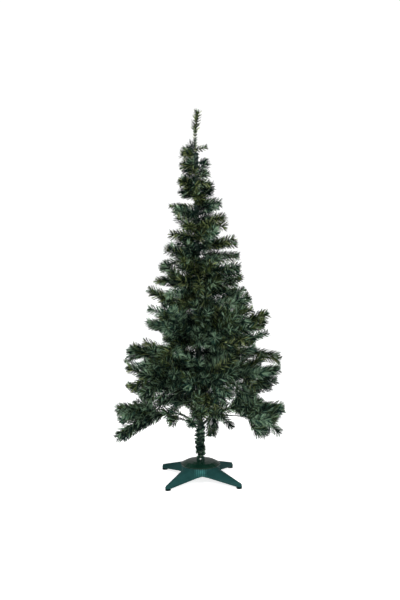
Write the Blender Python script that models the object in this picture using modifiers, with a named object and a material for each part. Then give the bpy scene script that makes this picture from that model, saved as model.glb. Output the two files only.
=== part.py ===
"""An artificial Christmas tree on a moulded four-legged stand, at its real size.

Metres, +Z up. The floor is z = 0 and the stand's centre is the origin. Bearings are degrees from
+X, anticlockwise seen from above, so 270 points at the viewer and 180 to the viewer's left.
"""

import math
import random
from typing import NamedTuple

import bmesh
import bpy
from mathutils import Matrix, Vector
from mathutils.bvhtree import BVHTree

UP = Vector((0.0, 0.0, 1.0))

# Clearance between neighbouring pieces
GAP = 0.0003

# Pole: three tubes of falling diameter, each with a sleeve at its foot
POLE_LEAN_DEG = 0.8
POLE_FOOT = 0.0163
POLE_TOP = 1.600
POLE_JOINTS = (0.60, 1.12)
POLE_RADII = (0.0125, 0.0110, 0.0095)
SLEEVE_LENGTH = 0.045
SLEEVE_WALL = 0.0012
SLEEVE_CHAMFER = 0.0006
POLE_BORE = 0.0083
POLE_SIDES = 12

# Garland of short tinsel round the bare foot of the pole
GARLAND_BOTTOM = 0.1165
GARLAND_TOP = 0.262
GARLAND_RADIUS = 0.0195
TUFT_REACH = 0.0290
TUFT_ROOT_RADIUS = 0.0075
TUFT_TIP_RADIUS = 0.0014
TUFT_TILT_DEG = 30.0
TUFT_TURN_DEG = 13.0
TUFT_SINK = 0.002
TUFTS_PER_TURN = 5
TUFT_PITCH = 0.022

# Stand: two moulded halves that meet on a seam, a domed cap and four feet
STAND_TURN_DEG = 5.0
HUB_RADIUS = 0.095
DECK_HEIGHT = 0.0735
SKIRT_FOOT = 0.040
STAND_WALL = 0.0035
NOTCH_RADIUS = 0.093
LEG_BEARINGS = (135.0, 225.0)
LEG_REACH = 0.2535
LEG_NOSE = 0.0155
LEG_RIM = 0.005
LEG_TIP_TOP = 0.0265
LEG_TIP_FOOT = 0.0095
LEG_HOLLOW_END = 0.212
LEG_ROOT = 0.020
LEG_STEP_DOWN = 0.0015
LEG_CREST_DROP = 0.12
LEG_CREST_HALF = 0.32
HOLLOW_THROUGH = 0.020
SOCKET_RADIUS = 0.0175
SOCKET_FOOT = 0.012
TONGUE_WIDTH = 0.034
TONGUE_PROUD = 0.0045
TONGUE_FOOT = 0.052
TONGUE_TOP = 0.069
RIBS = 5
RIB_WIDTH = 0.002
RIB_PROUD = 0.0012
CAP_RADIUS = 0.098
CAP_RISE = 0.022
CAP_RIM = 0.0040
CAP_WALL = 0.0030
CAP_DOME = 0.97
COLLAR_RADIUS = 0.0205
COLLAR_TOP = 0.1120
CAP_SIDES = 20
FOOT_REACH = 0.240
FOOT_RADIUS = 0.0140
FOOT_THICKNESS = 0.0045
FOOT_NECK_RADIUS = 0.0075
FOOT_SIDES = 12
SCREW_RADIUS = 0.0030
SCREW_HEAD_RADIUS = 0.0050
SCREW_HEAD_LENGTH = 0.0045
SCREW_HEIGHT = 0.1055
SCREW_BEARING = 272.0

# Boughs: wires that leave the pole level, climb, and arch over to where the foliage begins
BOUGH_SEAT = 0.008
BOUGH_ROOT_RADIUS = 0.0040
BOUGH_TIP_RADIUS = 0.0028
BOUGH_STEPS = 4

# Foliage: sprays on three-sided stems, each a toothed blade wider than a brush of needles
STEM_RADIUS = 0.0042
STEM_TIP_RADIUS = 0.0026
STEM_SIDES = 3
KEEP_CLEAR = 0.0008
OWN_CLEAR = 0.18
TRIES = 24
GOLDEN_ANGLE = 137.5
TURN_JITTER_DEG = 28.0
OFF_JITTER = (0.8, 1.15)
LENGTH_JITTER = (0.93, 1.0)
END_SPRAY_OFF_DEG = 8.0
SPRAYS_FROM = 0.10
SPRAYS_SPAN = 0.82
STRIDE = 0.005
SEED = 338

# A blade's outline, in shares of its length and width, and its thickness
BLADE_THICKNESS = 0.0022
BLADE_ROOT = 0.045
BLADE_SPINE = 0.34
BLADE_SHOULDER = 0.72
BLADE_SWELL = 1.2
BLADE_CLOSING = 0.62
TEETH = 3
FIRST_TOOTH = 0.17
LAST_TOOTH = 0.84
TOOTH_RAKE = 1.30
TOOTH_SHIFT = 0.4

# The crown's outline: its radius at rising heights above the floor
OUTLINE = (
    (0.18, 0.419),
    (0.30, 0.430),
    (0.42, 0.424),
    (0.66, 0.403),
    (0.74, 0.358),
    (0.94, 0.278),
    (0.99, 0.219),
    (1.20, 0.181),
    (1.38, 0.133),
    (1.50, 0.095),
    (1.62, 0.066),
    (1.66, 0.030),
)


class Fan(NamedTuple):
    """How sprays leave a stem: how many, how far off its line at its root and tip, and their sizes.

    Flatness is their spread up and down against that to the sides. Hang turns them down, by more
    towards the stem's tip.
    """

    sprays: int
    root_deg: float
    tip_deg: float
    flatness: float
    hang: float
    shortest: float
    longest: float
    width: float


class Tier(NamedTuple):
    """A ring of boughs at one height."""

    name: str
    height: float
    bearings: tuple
    run: float
    rise_deg: float
    stem: float
    tilt_deg: float
    side_droop_deg: float
    fan: Fan


class Mass(NamedTuple):
    """A mass of foliage: the foot of its stem, the way the stem goes, and the sprays along it."""

    name: str
    foot: Vector
    heading: Vector
    stem: float
    fan: Fan


TIERS = (
    Tier(
        name="low",
        height=0.276,
        bearings=(194, 262, 328, 24, 112),
        run=0.155,
        rise_deg=44.8,
        stem=0.124,
        tilt_deg=11.9,
        side_droop_deg=10.0,
        fan=Fan(
            sprays=7,
            root_deg=68.2,
            tip_deg=29.1,
            flatness=0.62,
            hang=0.10,
            shortest=0.08,
            longest=0.215,
            width=0.118,
        ),
    ),
    Tier(
        name="middle",
        height=0.498,
        bearings=(211, 281, 349, 59, 137),
        run=0.056,
        rise_deg=47.6,
        stem=0.119,
        tilt_deg=3.9,
        side_droop_deg=0.0,
        fan=Fan(
            sprays=7,
            root_deg=63.7,
            tip_deg=21.8,
            flatness=1.09,
            hang=0.00,
            shortest=0.08,
            longest=0.215,
            width=0.118,
        ),
    ),
    Tier(
        name="upper",
        height=0.673,
        bearings=(159, 228, 300, 10, 84),
        run=0.040,
        rise_deg=42.8,
        stem=0.135,
        tilt_deg=20.0,
        side_droop_deg=0.0,
        fan=Fan(
            sprays=7,
            root_deg=66.7,
            tip_deg=24.1,
            flatness=0.95,
            hang=-0.10,
            shortest=0.08,
            longest=0.215,
            width=0.118,
        ),
    ),
)

# Crown: clusters of brush twigs that leave the pole itself, one above another on a spiral
CLUSTERS = 18
CLUSTER_CROWDING = 1.17
FULL_CLUSTERS = 9
FULL_CLUSTER = 4
CLUSTER_FOOT = 0.866
CLUSTER_TOP = 1.528
CLUSTER_BEARING = 318.5
CLUSTER_TILT_FOOT = 6.0
CLUSTER_TILT_TOP = 18.0
CLUSTER_STEM = 0.032
CLUSTER_FAN = Fan(
    sprays=3,
    root_deg=67.3,
    tip_deg=37.4,
    flatness=0.60,
    hang=0.04,
    shortest=0.06,
    longest=0.22,
    width=0.097,
)

# Leader: the one upright brush at the very top
LEADER_TOP = 1.800
LEADER_STEM = 0.030
LEADER_CAP = 0.010
LEADER_STEP = 0.004
LEADER_STEM_SINK = 0.002
LEADER_ROLL_DEG = 35.0
LEADER_LEAN_DEG = 1.5
LEADER_SHORTER = 0.006
LEADER_WIDTH = 0.034


def bearing(degrees, tilt=0.0):
    """The unit vector at this bearing, tilted this far above the horizontal."""
    flat = math.cos(math.radians(tilt))
    return Vector((
        math.cos(math.radians(degrees)) * flat,
        math.sin(math.radians(degrees)) * flat,
        math.sin(math.radians(tilt)),
    ))


def leaning():
    """The turn that carries the upright Z axis on to the pole's axis."""
    return Matrix.Rotation(-math.radians(POLE_LEAN_DEG), 4, "Y")


def pole_axis(height):
    """The point of the leaning pole's axis at this height."""
    return Vector((-math.tan(math.radians(POLE_LEAN_DEG)) * height, 0.0, height))


def pole_radius(height):
    """The pole's outer radius at this height, with the sleeve over each joint."""
    section = sum(height >= joint for joint in POLE_JOINTS)
    radius = POLE_RADII[section]
    if section and height < POLE_JOINTS[section - 1] + SLEEVE_LENGTH:
        radius = POLE_RADII[section - 1] + SLEEVE_WALL
    return radius


def clear_scene():
    for item in list(bpy.data.objects):
        bpy.data.objects.remove(item, do_unlink=True)


def collection(name):
    made = bpy.data.collections.new(name)
    bpy.context.scene.collection.children.link(made)
    return made


def material(name, colour, roughness, metallic=0.0):
    made = bpy.data.materials.new(name)
    made.use_nodes = True
    shader = made.node_tree.nodes["Principled BSDF"]
    shader.inputs["Base Color"].default_value = (*colour, 1.0)
    shader.inputs["Roughness"].default_value = roughness
    shader.inputs["Metallic"].default_value = metallic
    return made


def as_object(name, shape, where, finish=None):
    """A mesh object of this bmesh, in this collection."""
    mesh = bpy.data.meshes.new(name)
    shape.to_mesh(mesh)
    shape.free()
    made = bpy.data.objects.new(name, mesh)
    where.objects.link(made)
    if finish:
        mesh.materials.append(finish)
    return made


def shade_round(item, degrees=40.0):
    item.data.shade_smooth()
    item.data.set_sharp_from_angle(angle=math.radians(degrees))


def applied(item):
    """The object's mesh as its modifiers or curve settings leave it, welded, at the object's own place."""
    bpy.context.view_layer.update()
    graph = bpy.context.evaluated_depsgraph_get()
    mesh = bpy.data.meshes.new_from_object(item.evaluated_get(graph))
    shape = bmesh.new()
    shape.from_mesh(mesh)
    bmesh.ops.remove_doubles(shape, verts=shape.verts, dist=1e-6)
    shape.to_mesh(mesh)
    shape.free()
    return mesh


def boolean(target, operation, others, solver="EXACT"):
    """Applies one Boolean of a whole collection to the target, and removes the collection's objects."""
    modifier = target.modifiers.new(operation.lower(), "BOOLEAN")
    modifier.operation = operation
    modifier.operand_type = "COLLECTION"
    modifier.collection = others
    modifier.solver = solver
    old = target.data
    target.data = applied(target)
    target.modifiers.clear()
    bpy.data.meshes.remove(old)
    for used in list(others.objects):
        bpy.data.objects.remove(used, do_unlink=True)
    bpy.data.collections.remove(others)


def cylinder(name, radius, low, high, where, sides, finish=None):
    """An upright cylinder between two heights."""
    shape = bmesh.new()
    bmesh.ops.create_cone(
        shape,
        cap_ends=True,
        segments=sides,
        radius1=radius,
        radius2=radius,
        depth=high - low,
        matrix=Matrix.Translation((0, 0, (low + high) / 2)),
    )
    return as_object(name, shape, where, finish)


def block(name, low, high, where):
    """A box between two corners."""
    low, high = Vector(low), Vector(high)
    shape = bmesh.new()
    bmesh.ops.create_cube(
        shape,
        size=1.0,
        matrix=Matrix.Translation((low + high) / 2) @ Matrix.Diagonal((*(high - low), 1.0)),
    )
    return as_object(name, shape, where)


def turned(name, profile, sides, where, finish):
    """A profile of (radius, height) points, outer side first and downwards, turned round Z."""
    shape = bmesh.new()
    corners = [shape.verts.new((radius, 0.0, height)) for radius, height in profile]
    for first, second in zip(corners, corners[1:]):
        shape.edges.new((first, second))
    if profile[0][0] > 0.0:
        shape.edges.new((corners[-1], corners[0]))
    made = as_object(name, shape, where, finish)
    screw = made.modifiers.new("turn", "SCREW")
    screw.steps = screw.render_steps = sides
    screw.use_merge_vertices = True
    screw.merge_threshold = 0.00005
    return made


def frame_along(heading, start, roll=0.0):
    """A placement whose X runs along the heading, with Y across it and Z over it, rolled about X."""
    across = UP.cross(heading).normalized()
    over = heading.cross(across)
    axes = Matrix((heading, across, over)).transposed().to_4x4()
    return Matrix.Translation(start) @ axes @ Matrix.Rotation(roll, 4, "X")


def twig(name, start, heading, length, root_radius, tip_radius, where, finish=None):
    """A three-sided tapering twig with one of its edges uppermost."""
    shape = bmesh.new()
    stand_up = Matrix.Rotation(math.pi / 2, 4, "Y") @ Matrix.Rotation(math.pi / 2, 4, "Z")
    bmesh.ops.create_cone(
        shape,
        cap_ends=True,
        segments=STEM_SIDES,
        radius1=root_radius,
        radius2=tip_radius,
        depth=length,
        matrix=frame_along(heading, start + heading * length / 2) @ stand_up,
    )
    return as_object(name, shape, where, finish)


def build_pole(parts, finish):
    profile = [(POLE_RADII[2], POLE_TOP)]
    for section in (2, 1):
        joint = POLE_JOINTS[section - 1]
        sleeve = POLE_RADII[section - 1] + SLEEVE_WALL
        profile += [
            (POLE_RADII[section], joint + SLEEVE_LENGTH),
            (sleeve, joint + SLEEVE_LENGTH - SLEEVE_CHAMFER),
            (sleeve, joint),
            (POLE_RADII[section - 1], joint - SLEEVE_CHAMFER),
        ]
    profile += [(POLE_RADII[0], POLE_FOOT), (POLE_BORE, POLE_FOOT), (POLE_BORE, POLE_TOP)]
    pole = turned("trunk_pole", profile, POLE_SIDES, parts, finish)
    pole.rotation_euler.y = -math.radians(POLE_LEAN_DEG)
    return pole


def build_garland(parts, finish):
    """A sleeve of tinsel: short tufts on a spiral, fused to a thin tube that the pole runs through."""
    garland = cylinder("trunk_garland", GARLAND_RADIUS, GARLAND_BOTTOM, GARLAND_TOP, parts, 12, finish)
    tufts = collection("tufts")
    turns = (GARLAND_TOP - GARLAND_BOTTOM) / TUFT_PITCH - 1
    for index in range(int(turns * TUFTS_PER_TURN)):
        height = GARLAND_BOTTOM + TUFT_PITCH * (0.4 + index / TUFTS_PER_TURN)
        turn = index * 360.0 / TUFTS_PER_TURN + TUFT_TURN_DEG * (index % 4)
        out = bearing(turn, TUFT_TILT_DEG * (-1) ** index)
        root = POLE_RADII[0] + TUFT_SINK
        length = TUFT_REACH - root
        twig(f"tuft_{index}", UP * height + out * root, out, length, TUFT_ROOT_RADIUS, TUFT_TIP_RADIUS, tufts)
    boolean(garland, "UNION", tufts, "MANIFOLD")
    bore = collection("garland_bore")
    cylinder("bore", POLE_RADII[0] + GAP, 0.0, 1.0, bore, POLE_SIDES)
    boolean(garland, "DIFFERENCE", bore, "MANIFOLD")
    garland.data.transform(leaning())
    return garland


def leg_section(reach, inset):
    """A leg's roof-shaped section this far out, or the hollow's inside it, as (across, up) points."""
    corner = NOTCH_RADIUS * math.sqrt(0.5)
    shoulder = LEG_REACH - LEG_NOSE
    along = (reach - corner) / (shoulder - corner)
    half = corner + (LEG_NOSE - corner) * min(along, 1.0)
    if reach > shoulder:
        half = math.sqrt(LEG_NOSE ** 2 - (reach - shoulder) ** 2)
    fall = max(0.0, (reach - HUB_RADIUS) / (LEG_REACH - HUB_RADIUS))
    top = DECK_HEIGHT - LEG_STEP_DOWN + (LEG_TIP_TOP - DECK_HEIGHT) * fall
    sink = min(1.0, max(0.0, (reach - corner) / (LEG_HOLLOW_END - corner)))
    foot = SKIRT_FOOT + (LEG_TIP_FOOT - SKIRT_FOOT) * sink
    rim = foot + LEG_RIM
    if inset:
        half -= inset
        top -= inset
        rim -= 0.4 * inset
        foot -= HOLLOW_THROUGH
    crest = top - LEG_CREST_DROP * (top - rim)
    right = [(LEG_CREST_HALF * half, crest), (half, rim), (half, foot)]
    left = [(-across, up) for across, up in reversed(right)]
    return left + [(0.0, top)] + right


def leg(name, turn_deg, inset, where):
    """A leg, or the hollow under it, lofted through its changing section and turned to its bearing."""
    shoulder = LEG_REACH - LEG_NOSE
    if inset:
        stations = (0.0, HUB_RADIUS, LEG_HOLLOW_END - inset)
    else:
        nose = [LEG_REACH - back for back in (0.0065, 0.0020, 0.0003)]
        stations = (LEG_ROOT, HUB_RADIUS, shoulder, *nose)
    shape = bmesh.new()
    rings = [
        [shape.verts.new((station, across, up)) for across, up in leg_section(station, inset)]
        for station in stations
    ]
    for ring, after in zip(rings, rings[1:]):
        sides = zip(ring, ring[1:] + ring[:1], after[1:] + after[:1], after)
        for side in sides:
            shape.faces.new(side)
    shape.faces.new(rings[0])
    shape.faces.new(rings[-1])
    bmesh.ops.recalc_face_normals(shape, faces=shape.faces)
    shape.transform(Matrix.Rotation(math.radians(turn_deg), 4, "Z"))
    return as_object(name, shape, where)


def build_half(name, turn_deg, parts, finish):
    """Half of the stand: half the hub, two legs, half the pole's socket and a ribbed tongue on the seam."""
    half = cylinder(name, HUB_RADIUS, SKIRT_FOOT, DECK_HEIGHT, parts, CAP_SIDES, finish)
    legs = collection("legs")
    for index, turn in enumerate(LEG_BEARINGS):
        leg(f"leg_{index}", turn, 0.0, legs)
    boolean(half, "UNION", legs, "MANIFOLD")
    hollows = collection("hollows")
    cylinder("hub_hollow", HUB_RADIUS - STAND_WALL, 0.0, DECK_HEIGHT - STAND_WALL, hollows, CAP_SIDES)
    for index, turn in enumerate(LEG_BEARINGS):
        leg(f"leg_hollow_{index}", turn, STAND_WALL, hollows)
    boolean(half, "DIFFERENCE", hollows, "MANIFOLD")
    socket = collection("socket")
    cylinder("socket_tube", SOCKET_RADIUS, SOCKET_FOOT, DECK_HEIGHT - STAND_WALL / 2, socket, POLE_SIDES)
    boolean(half, "UNION", socket, "MANIFOLD")
    cuts = collection("seam_and_bore")
    block("other_side", (-GAP / 2, -1.0, -1.0), (1.0, 1.0, 1.0), cuts)
    bore = cylinder("bore", POLE_RADII[0] + GAP, POLE_FOOT - GAP, 1.0, cuts, POLE_SIDES)
    bore.data.transform(Matrix.Rotation(-math.radians(turn_deg), 4, "Z") @ leaning())
    boolean(half, "DIFFERENCE", cuts, "MANIFOLD")
    boolean(half, "UNION", tongue_blocks(), "MANIFOLD")
    half.data.transform(Matrix.Rotation(math.radians(turn_deg), 4, "Z"))
    return half


def tongue_blocks():
    """A plate over the seam, rooted in the left side of the hub's wall, with upright ribs on its face."""
    tongue = collection("tongue")
    outer = HUB_RADIUS + TONGUE_PROUD
    inner = HUB_RADIUS + GAP
    across = TONGUE_WIDTH / 2
    inset = 0.001
    block("tongue_plate", (-across, -outer, TONGUE_FOOT), (across, -inner, TONGUE_TOP), tongue)
    block(
        "tongue_root",
        (-across, -outer + inset, TONGUE_FOOT),
        (-0.002, -HUB_RADIUS + 0.003, TONGUE_TOP - inset),
        tongue,
    )
    for rib in range(RIBS):
        middle = across * (rib - RIBS // 2) / 2.4
        block(
            f"rib_{rib}",
            (middle - RIB_WIDTH / 2, -outer - RIB_PROUD, TONGUE_FOOT + inset),
            (middle + RIB_WIDTH / 2, -outer + RIB_PROUD / 2, TONGUE_TOP - inset),
            tongue,
        )
    return tongue


def cap_profile():
    """The domed cap's section: outer side down, then up inside, with a collar for the pole."""
    rim_foot = DECK_HEIGHT + GAP
    rim_top = rim_foot + CAP_RIM
    outer = []
    inner = []
    for step in range(4):
        share = step / 3
        spread = COLLAR_RADIUS + (CAP_RADIUS - COLLAR_RADIUS) * share
        height = rim_top + CAP_RISE * (math.sqrt(1 - CAP_DOME * share ** 2) - math.sqrt(1 - CAP_DOME))
        outer.append((spread, height))
        inner.append((min(spread, CAP_RADIUS - CAP_WALL), height - CAP_WALL))
    bore = POLE_RADII[0] + 0.0010
    profile = [(bore + 0.003, COLLAR_TOP), (COLLAR_RADIUS, COLLAR_TOP - 0.003)] + outer
    profile += [(CAP_RADIUS, rim_foot), (CAP_RADIUS - CAP_WALL, rim_foot)]
    profile += inner[-2::-1]
    return profile + [(bore, inner[0][1]), (bore, COLLAR_TOP - 0.001)]


def build_cap(parts, finish):
    cap = turned("stand_cap", cap_profile(), CAP_SIDES, parts, finish)
    cap.data = applied(cap)
    cap.modifiers.clear()
    cuts = collection("cap_cuts")
    bore = cylinder("pole_space", POLE_RADII[0] + GAP, 0.0, 1.0, cuts, POLE_SIDES)
    bore.data.transform(leaning())
    hole = cylinder("screw_hole", SCREW_RADIUS + GAP, 0.0, COLLAR_RADIUS + 0.01, cuts, 8)
    hole.data.transform(along_screw())
    boolean(cap, "DIFFERENCE", cuts)
    return cap


def along_screw():
    """The turn that lays an upright piece along the locking screw, outwards from the pole's axis."""
    outwards = UP.rotation_difference(bearing(SCREW_BEARING)).to_matrix().to_4x4()
    return Matrix.Translation(pole_axis(SCREW_HEIGHT)) @ outwards


def build_screw(parts, finish):
    """The locking screw in the cap's collar, with a head outside it."""
    tip = POLE_RADII[0] + GAP
    seat = COLLAR_RADIUS + GAP
    profile = [
        (0.0, seat + SCREW_HEAD_LENGTH),
        (SCREW_HEAD_RADIUS * 0.8, seat + SCREW_HEAD_LENGTH),
        (SCREW_HEAD_RADIUS, seat + SCREW_HEAD_LENGTH * 0.75),
        (SCREW_HEAD_RADIUS, seat),
        (SCREW_RADIUS, seat),
        (SCREW_RADIUS, tip),
        (0.0, tip),
    ]
    screw = turned("stand_screw", profile, 8, parts, finish)
    screw.matrix_world = along_screw()
    return screw


def build_foot(index, turn_deg, parts, finish):
    """A round foot pad with a neck that carries the leg's tip."""
    neck_top = LEG_TIP_FOOT - GAP
    profile = [
        (0.0, neck_top),
        (FOOT_NECK_RADIUS, neck_top),
        (FOOT_NECK_RADIUS, FOOT_THICKNESS),
        (FOOT_RADIUS, FOOT_THICKNESS),
        (FOOT_RADIUS, 0.0),
        (0.0, 0.0),
    ]
    foot = turned(f"foot_{index}", profile, FOOT_SIDES, parts, finish)
    foot.location = bearing(turn_deg) * FOOT_REACH
    return foot


def bough_tilt(tier, turn_deg):
    """The tilt at a bough's tip: those to the left and right hang lower than those to front and back."""
    return tier.tilt_deg - tier.side_droop_deg * abs(math.cos(math.radians(turn_deg)))


def bough_points(tier, turn_deg):
    """A bough's course: level out of the pole, up at the tier's rise, then over to the tilt at its tip."""
    out = pole_radius(tier.height) + GAP
    points = [pole_axis(tier.height) + bearing(turn_deg) * out]
    points.append(points[0] + bearing(turn_deg) * BOUGH_SEAT)
    step = tier.run / BOUGH_STEPS
    for index in range(BOUGH_STEPS):
        tilt = tier.rise_deg + (bough_tilt(tier, turn_deg) - tier.rise_deg) * index / (BOUGH_STEPS - 1)
        points.append(points[-1] + bearing(turn_deg, tilt) * step)
    return points


def build_bough(name, points, parts, finish):
    """A tapering wire through these points, its foot against the pole."""
    course = bpy.data.curves.new(name, "CURVE")
    course.dimensions = "3D"
    course.bevel_depth = 1.0
    course.bevel_resolution = 0
    course.use_fill_caps = True
    spline = course.splines.new("POLY")
    spline.points.add(len(points) - 1)
    for index, point in enumerate(points):
        share = index / (len(points) - 1)
        spline.points[index].co = (*point, 1.0)
        spline.points[index].radius = BOUGH_ROOT_RADIUS + (BOUGH_TIP_RADIUS - BOUGH_ROOT_RADIUS) * share
    bough = bpy.data.objects.new(name, course)
    parts.objects.link(bough)
    course.materials.append(finish)
    return bough


def outline_radius(height):
    """The crown's radius at this height, read between the outline's points."""
    if height <= OUTLINE[0][0]:
        return OUTLINE[0][1]
    for (low, wide), (high, narrow) in zip(OUTLINE, OUTLINE[1:]):
        if height <= high:
            return wide + (narrow - wide) * (height - low) / (high - low)
    return OUTLINE[-1][1]


def length_to_outline(start, heading, longest):
    """How far a spray can run before it leaves the crown's outline, up to its longest."""
    length = 0.0
    while length < longest:
        tip = start + heading * (length + STRIDE)
        if (tip - pole_axis(tip.z)).length > outline_radius(tip.z):
            break
        length += STRIDE
    return length


def spray_course(mass, index, chance):
    """Where a spray leaves its stem and which way, with the jitter of this random source."""
    share = (index + 1) / mass.fan.sprays
    off = math.radians(mass.fan.root_deg + (mass.fan.tip_deg - mass.fan.root_deg) * share)
    off *= chance.uniform(*OFF_JITTER)
    turn = math.radians(index * GOLDEN_ANGLE + chance.uniform(-TURN_JITTER_DEG, TURN_JITTER_DEG))
    if index == mass.fan.sprays - 1:
        off = math.radians(chance.uniform(0.0, END_SPRAY_OFF_DEG))
    across = UP.cross(mass.heading).normalized()
    over = mass.heading.cross(across)
    swing = across * math.cos(turn) + over * math.sin(turn) * mass.fan.flatness
    heading = mass.heading * math.cos(off) + swing * math.sin(off) - UP * mass.fan.hang * share
    heading.normalize()
    return mass.foot + mass.heading * mass.stem * (SPRAYS_FROM + SPRAYS_SPAN * share), heading


def blade_half_width(along):
    """Half a blade's width at a tooth's tip, for a blade one long and one wide."""
    swell = min(1.0, BLADE_SHOULDER + BLADE_SWELL * along)
    close = max(0.0, (along - BLADE_CLOSING) / (1 - BLADE_CLOSING))
    return 0.5 * swell * (1 - BLADE_CLOSING * close ** 2)


def blade_side(shift):
    """One toothed edge of a blade from its root to its tip, as (along, half width) points."""
    points = [(0.0, BLADE_ROOT)]
    pitch = (LAST_TOOTH - FIRST_TOOTH) / TEETH
    for tooth in range(TEETH):
        valley = FIRST_TOOTH + (tooth + shift) * pitch
        tip = min(valley + TOOTH_RAKE * pitch, 0.985)
        points += [(valley, BLADE_SPINE / 2), (tip, blade_half_width(tip))]
    return points


def blade_mesh():
    """A toothed blade one long, one wide and one thick, from its root at the origin along X."""
    edge = blade_side(0.0) + [(1.0, 0.0)]
    edge += [(along, -half) for along, half in reversed(blade_side(TOOTH_SHIFT))]
    flat = bpy.data.curves.new("blade", "CURVE")
    flat.dimensions = "2D"
    flat.fill_mode = "BOTH"
    flat.extrude = 0.5
    spline = flat.splines.new("POLY")
    spline.points.add(len(edge) - 1)
    for point, (along, half) in zip(spline.points, edge):
        point.co = (along, half, 0.0, 1.0)
    spline.use_cyclic_u = True
    holder = bpy.data.objects.new("blade", flat)
    bpy.context.scene.collection.objects.link(holder)
    mesh = applied(holder)
    bpy.data.objects.remove(holder, do_unlink=True)
    return mesh


def slab(place, length, width, margin, begin=0.0):
    """The thin space that a spray fills from its root, or from further out, grown by a margin."""
    shape = bmesh.new()
    edge = [(begin, 2 * BLADE_ROOT), (0.26, 0.5), (0.86, 0.5), (1.0, 0.25)]
    edge += [(along, -half) for along, half in reversed(edge)]
    ring = [
        shape.verts.new((along * (length + margin), half * (width + 2 * margin), 0.0))
        for along, half in edge
    ]
    face = shape.faces.new(ring)
    bmesh.ops.solidify(shape, geom=[face], thickness=BLADE_THICKNESS + 2 * margin)
    middle = Matrix.Translation((0.0, 0.0, BLADE_THICKNESS / 2 + margin))
    shape.transform(place @ middle)
    tree = BVHTree.FromBMesh(shape)
    shape.free()
    return tree


def surface_of(item):
    """The object's surface as a tree of faces, in world space."""
    mesh = applied(item)
    mesh.transform(item.matrix_world)
    shape = bmesh.new()
    shape.from_mesh(mesh)
    tree = BVHTree.FromBMesh(shape)
    shape.free()
    bpy.data.meshes.remove(mesh)
    return tree


def masses_on_boughs(parts, finish):
    """The boughs of each tier, and the mass of foliage that goes on from each one's tip."""
    masses = []
    for tier in TIERS:
        for index, turn in enumerate(tier.bearings, 1):
            points = bough_points(tier, turn)
            build_bough(f"bough_{tier.name}_{index}", points, parts, finish)
            heading = bearing(turn, bough_tilt(tier, turn))
            foot = points[-1] + heading * GAP
            masses.append(Mass(f"foliage_{tier.name}_{index}", foot, heading, tier.stem, tier.fan))
    return masses


def masses_on_pole():
    """The clusters that leave the pole itself, turned by the golden angle from one to the next."""
    masses = []
    for index in range(CLUSTERS):
        share = index / (CLUSTERS - 1)
        height = CLUSTER_FOOT + (CLUSTER_TOP - CLUSTER_FOOT) * share ** CLUSTER_CROWDING
        tilt = CLUSTER_TILT_FOOT + (CLUSTER_TILT_TOP - CLUSTER_TILT_FOOT) * share
        turn = CLUSTER_BEARING + index * GOLDEN_ANGLE
        wall = max(pole_radius(height - STEM_RADIUS), pole_radius(height + STEM_RADIUS))
        clear = wall + GAP + STEM_RADIUS * math.sin(math.radians(tilt))
        foot = pole_axis(height) + bearing(turn) * clear
        fan = CLUSTER_FAN._replace(sprays=FULL_CLUSTER if index < FULL_CLUSTERS else CLUSTER_FAN.sprays)
        masses.append(Mass(f"foliage_crown_{index + 1:02d}", foot, bearing(turn, tilt), CLUSTER_STEM, fan))
    return masses


def grow(mass, stem, blade, taken):
    """Sets the mass's sprays on its stem, each clear of everything that isn't the mass's own."""
    chance = random.Random(f"{mass.name} {SEED}")
    own = []
    own_outer = []
    sprays = collection("sprays")
    for index in range(mass.fan.sprays):
        for _ in range(TRIES):
            start, heading = spray_course(mass, index, chance)
            roll = chance.uniform(0, math.pi)
            length = length_to_outline(start, heading, mass.fan.longest) * chance.uniform(*LENGTH_JITTER)
            place = frame_along(heading, start, roll)
            if length < mass.fan.shortest:
                continue
            space = slab(place, length, mass.fan.width, KEEP_CLEAR)
            outer = slab(place, length, mass.fan.width, 0.0, OWN_CLEAR)
            if any(space.overlap(other) for other in taken):
                continue
            if any(outer.overlap(other) for other in own_outer):
                continue
            own.append(slab(place, length, mass.fan.width, 0.0))
            own_outer.append(outer)
            spray = bpy.data.objects.new(f"spray_{index}", blade.copy())
            spray.data.transform(place @ Matrix.Diagonal((length, mass.fan.width, BLADE_THICKNESS, 1.0)))
            sprays.objects.link(spray)
            break
    boolean(stem, "UNION", sprays, "MANIFOLD")
    return own


def build_leader(parts, finish, blade):
    """The upright brush on the pole's top: an end cap, a short stem and two blades crossed on it."""
    heading = pole_axis(1.0).normalized()
    foot = heading * (POLE_TOP + GAP)
    stem_foot = foot + heading * LEADER_STEM_SINK
    leader = twig(
        "foliage_leader", stem_foot, heading, LEADER_STEM, STEM_RADIUS, STEM_RADIUS, parts, finish
    )
    crossed = collection("leader_blades")
    end_cap = cylinder("end_cap", POLE_RADII[2], POLE_TOP + GAP, POLE_TOP + GAP + LEADER_CAP, crossed, 8)
    end_cap.data.transform(leaning())
    for index in range(2):
        start = foot + heading * (LEADER_CAP + LEADER_STEP * (index + 1))
        half = bpy.data.objects.new(f"blade_{index}", blade.copy())
        lean = Matrix.Rotation(math.radians(LEADER_LEAN_DEG * index), 3, "X")
        place = frame_along(lean @ heading, start, math.radians(LEADER_ROLL_DEG + 90.0 * index))
        length = LEADER_TOP - start.z - LEADER_SHORTER * index
        half.data.transform(place @ Matrix.Diagonal((length, LEADER_WIDTH, BLADE_THICKNESS, 1.0)))
        crossed.objects.link(half)
    boolean(leader, "UNION", crossed, "MANIFOLD")
    return leader


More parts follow.
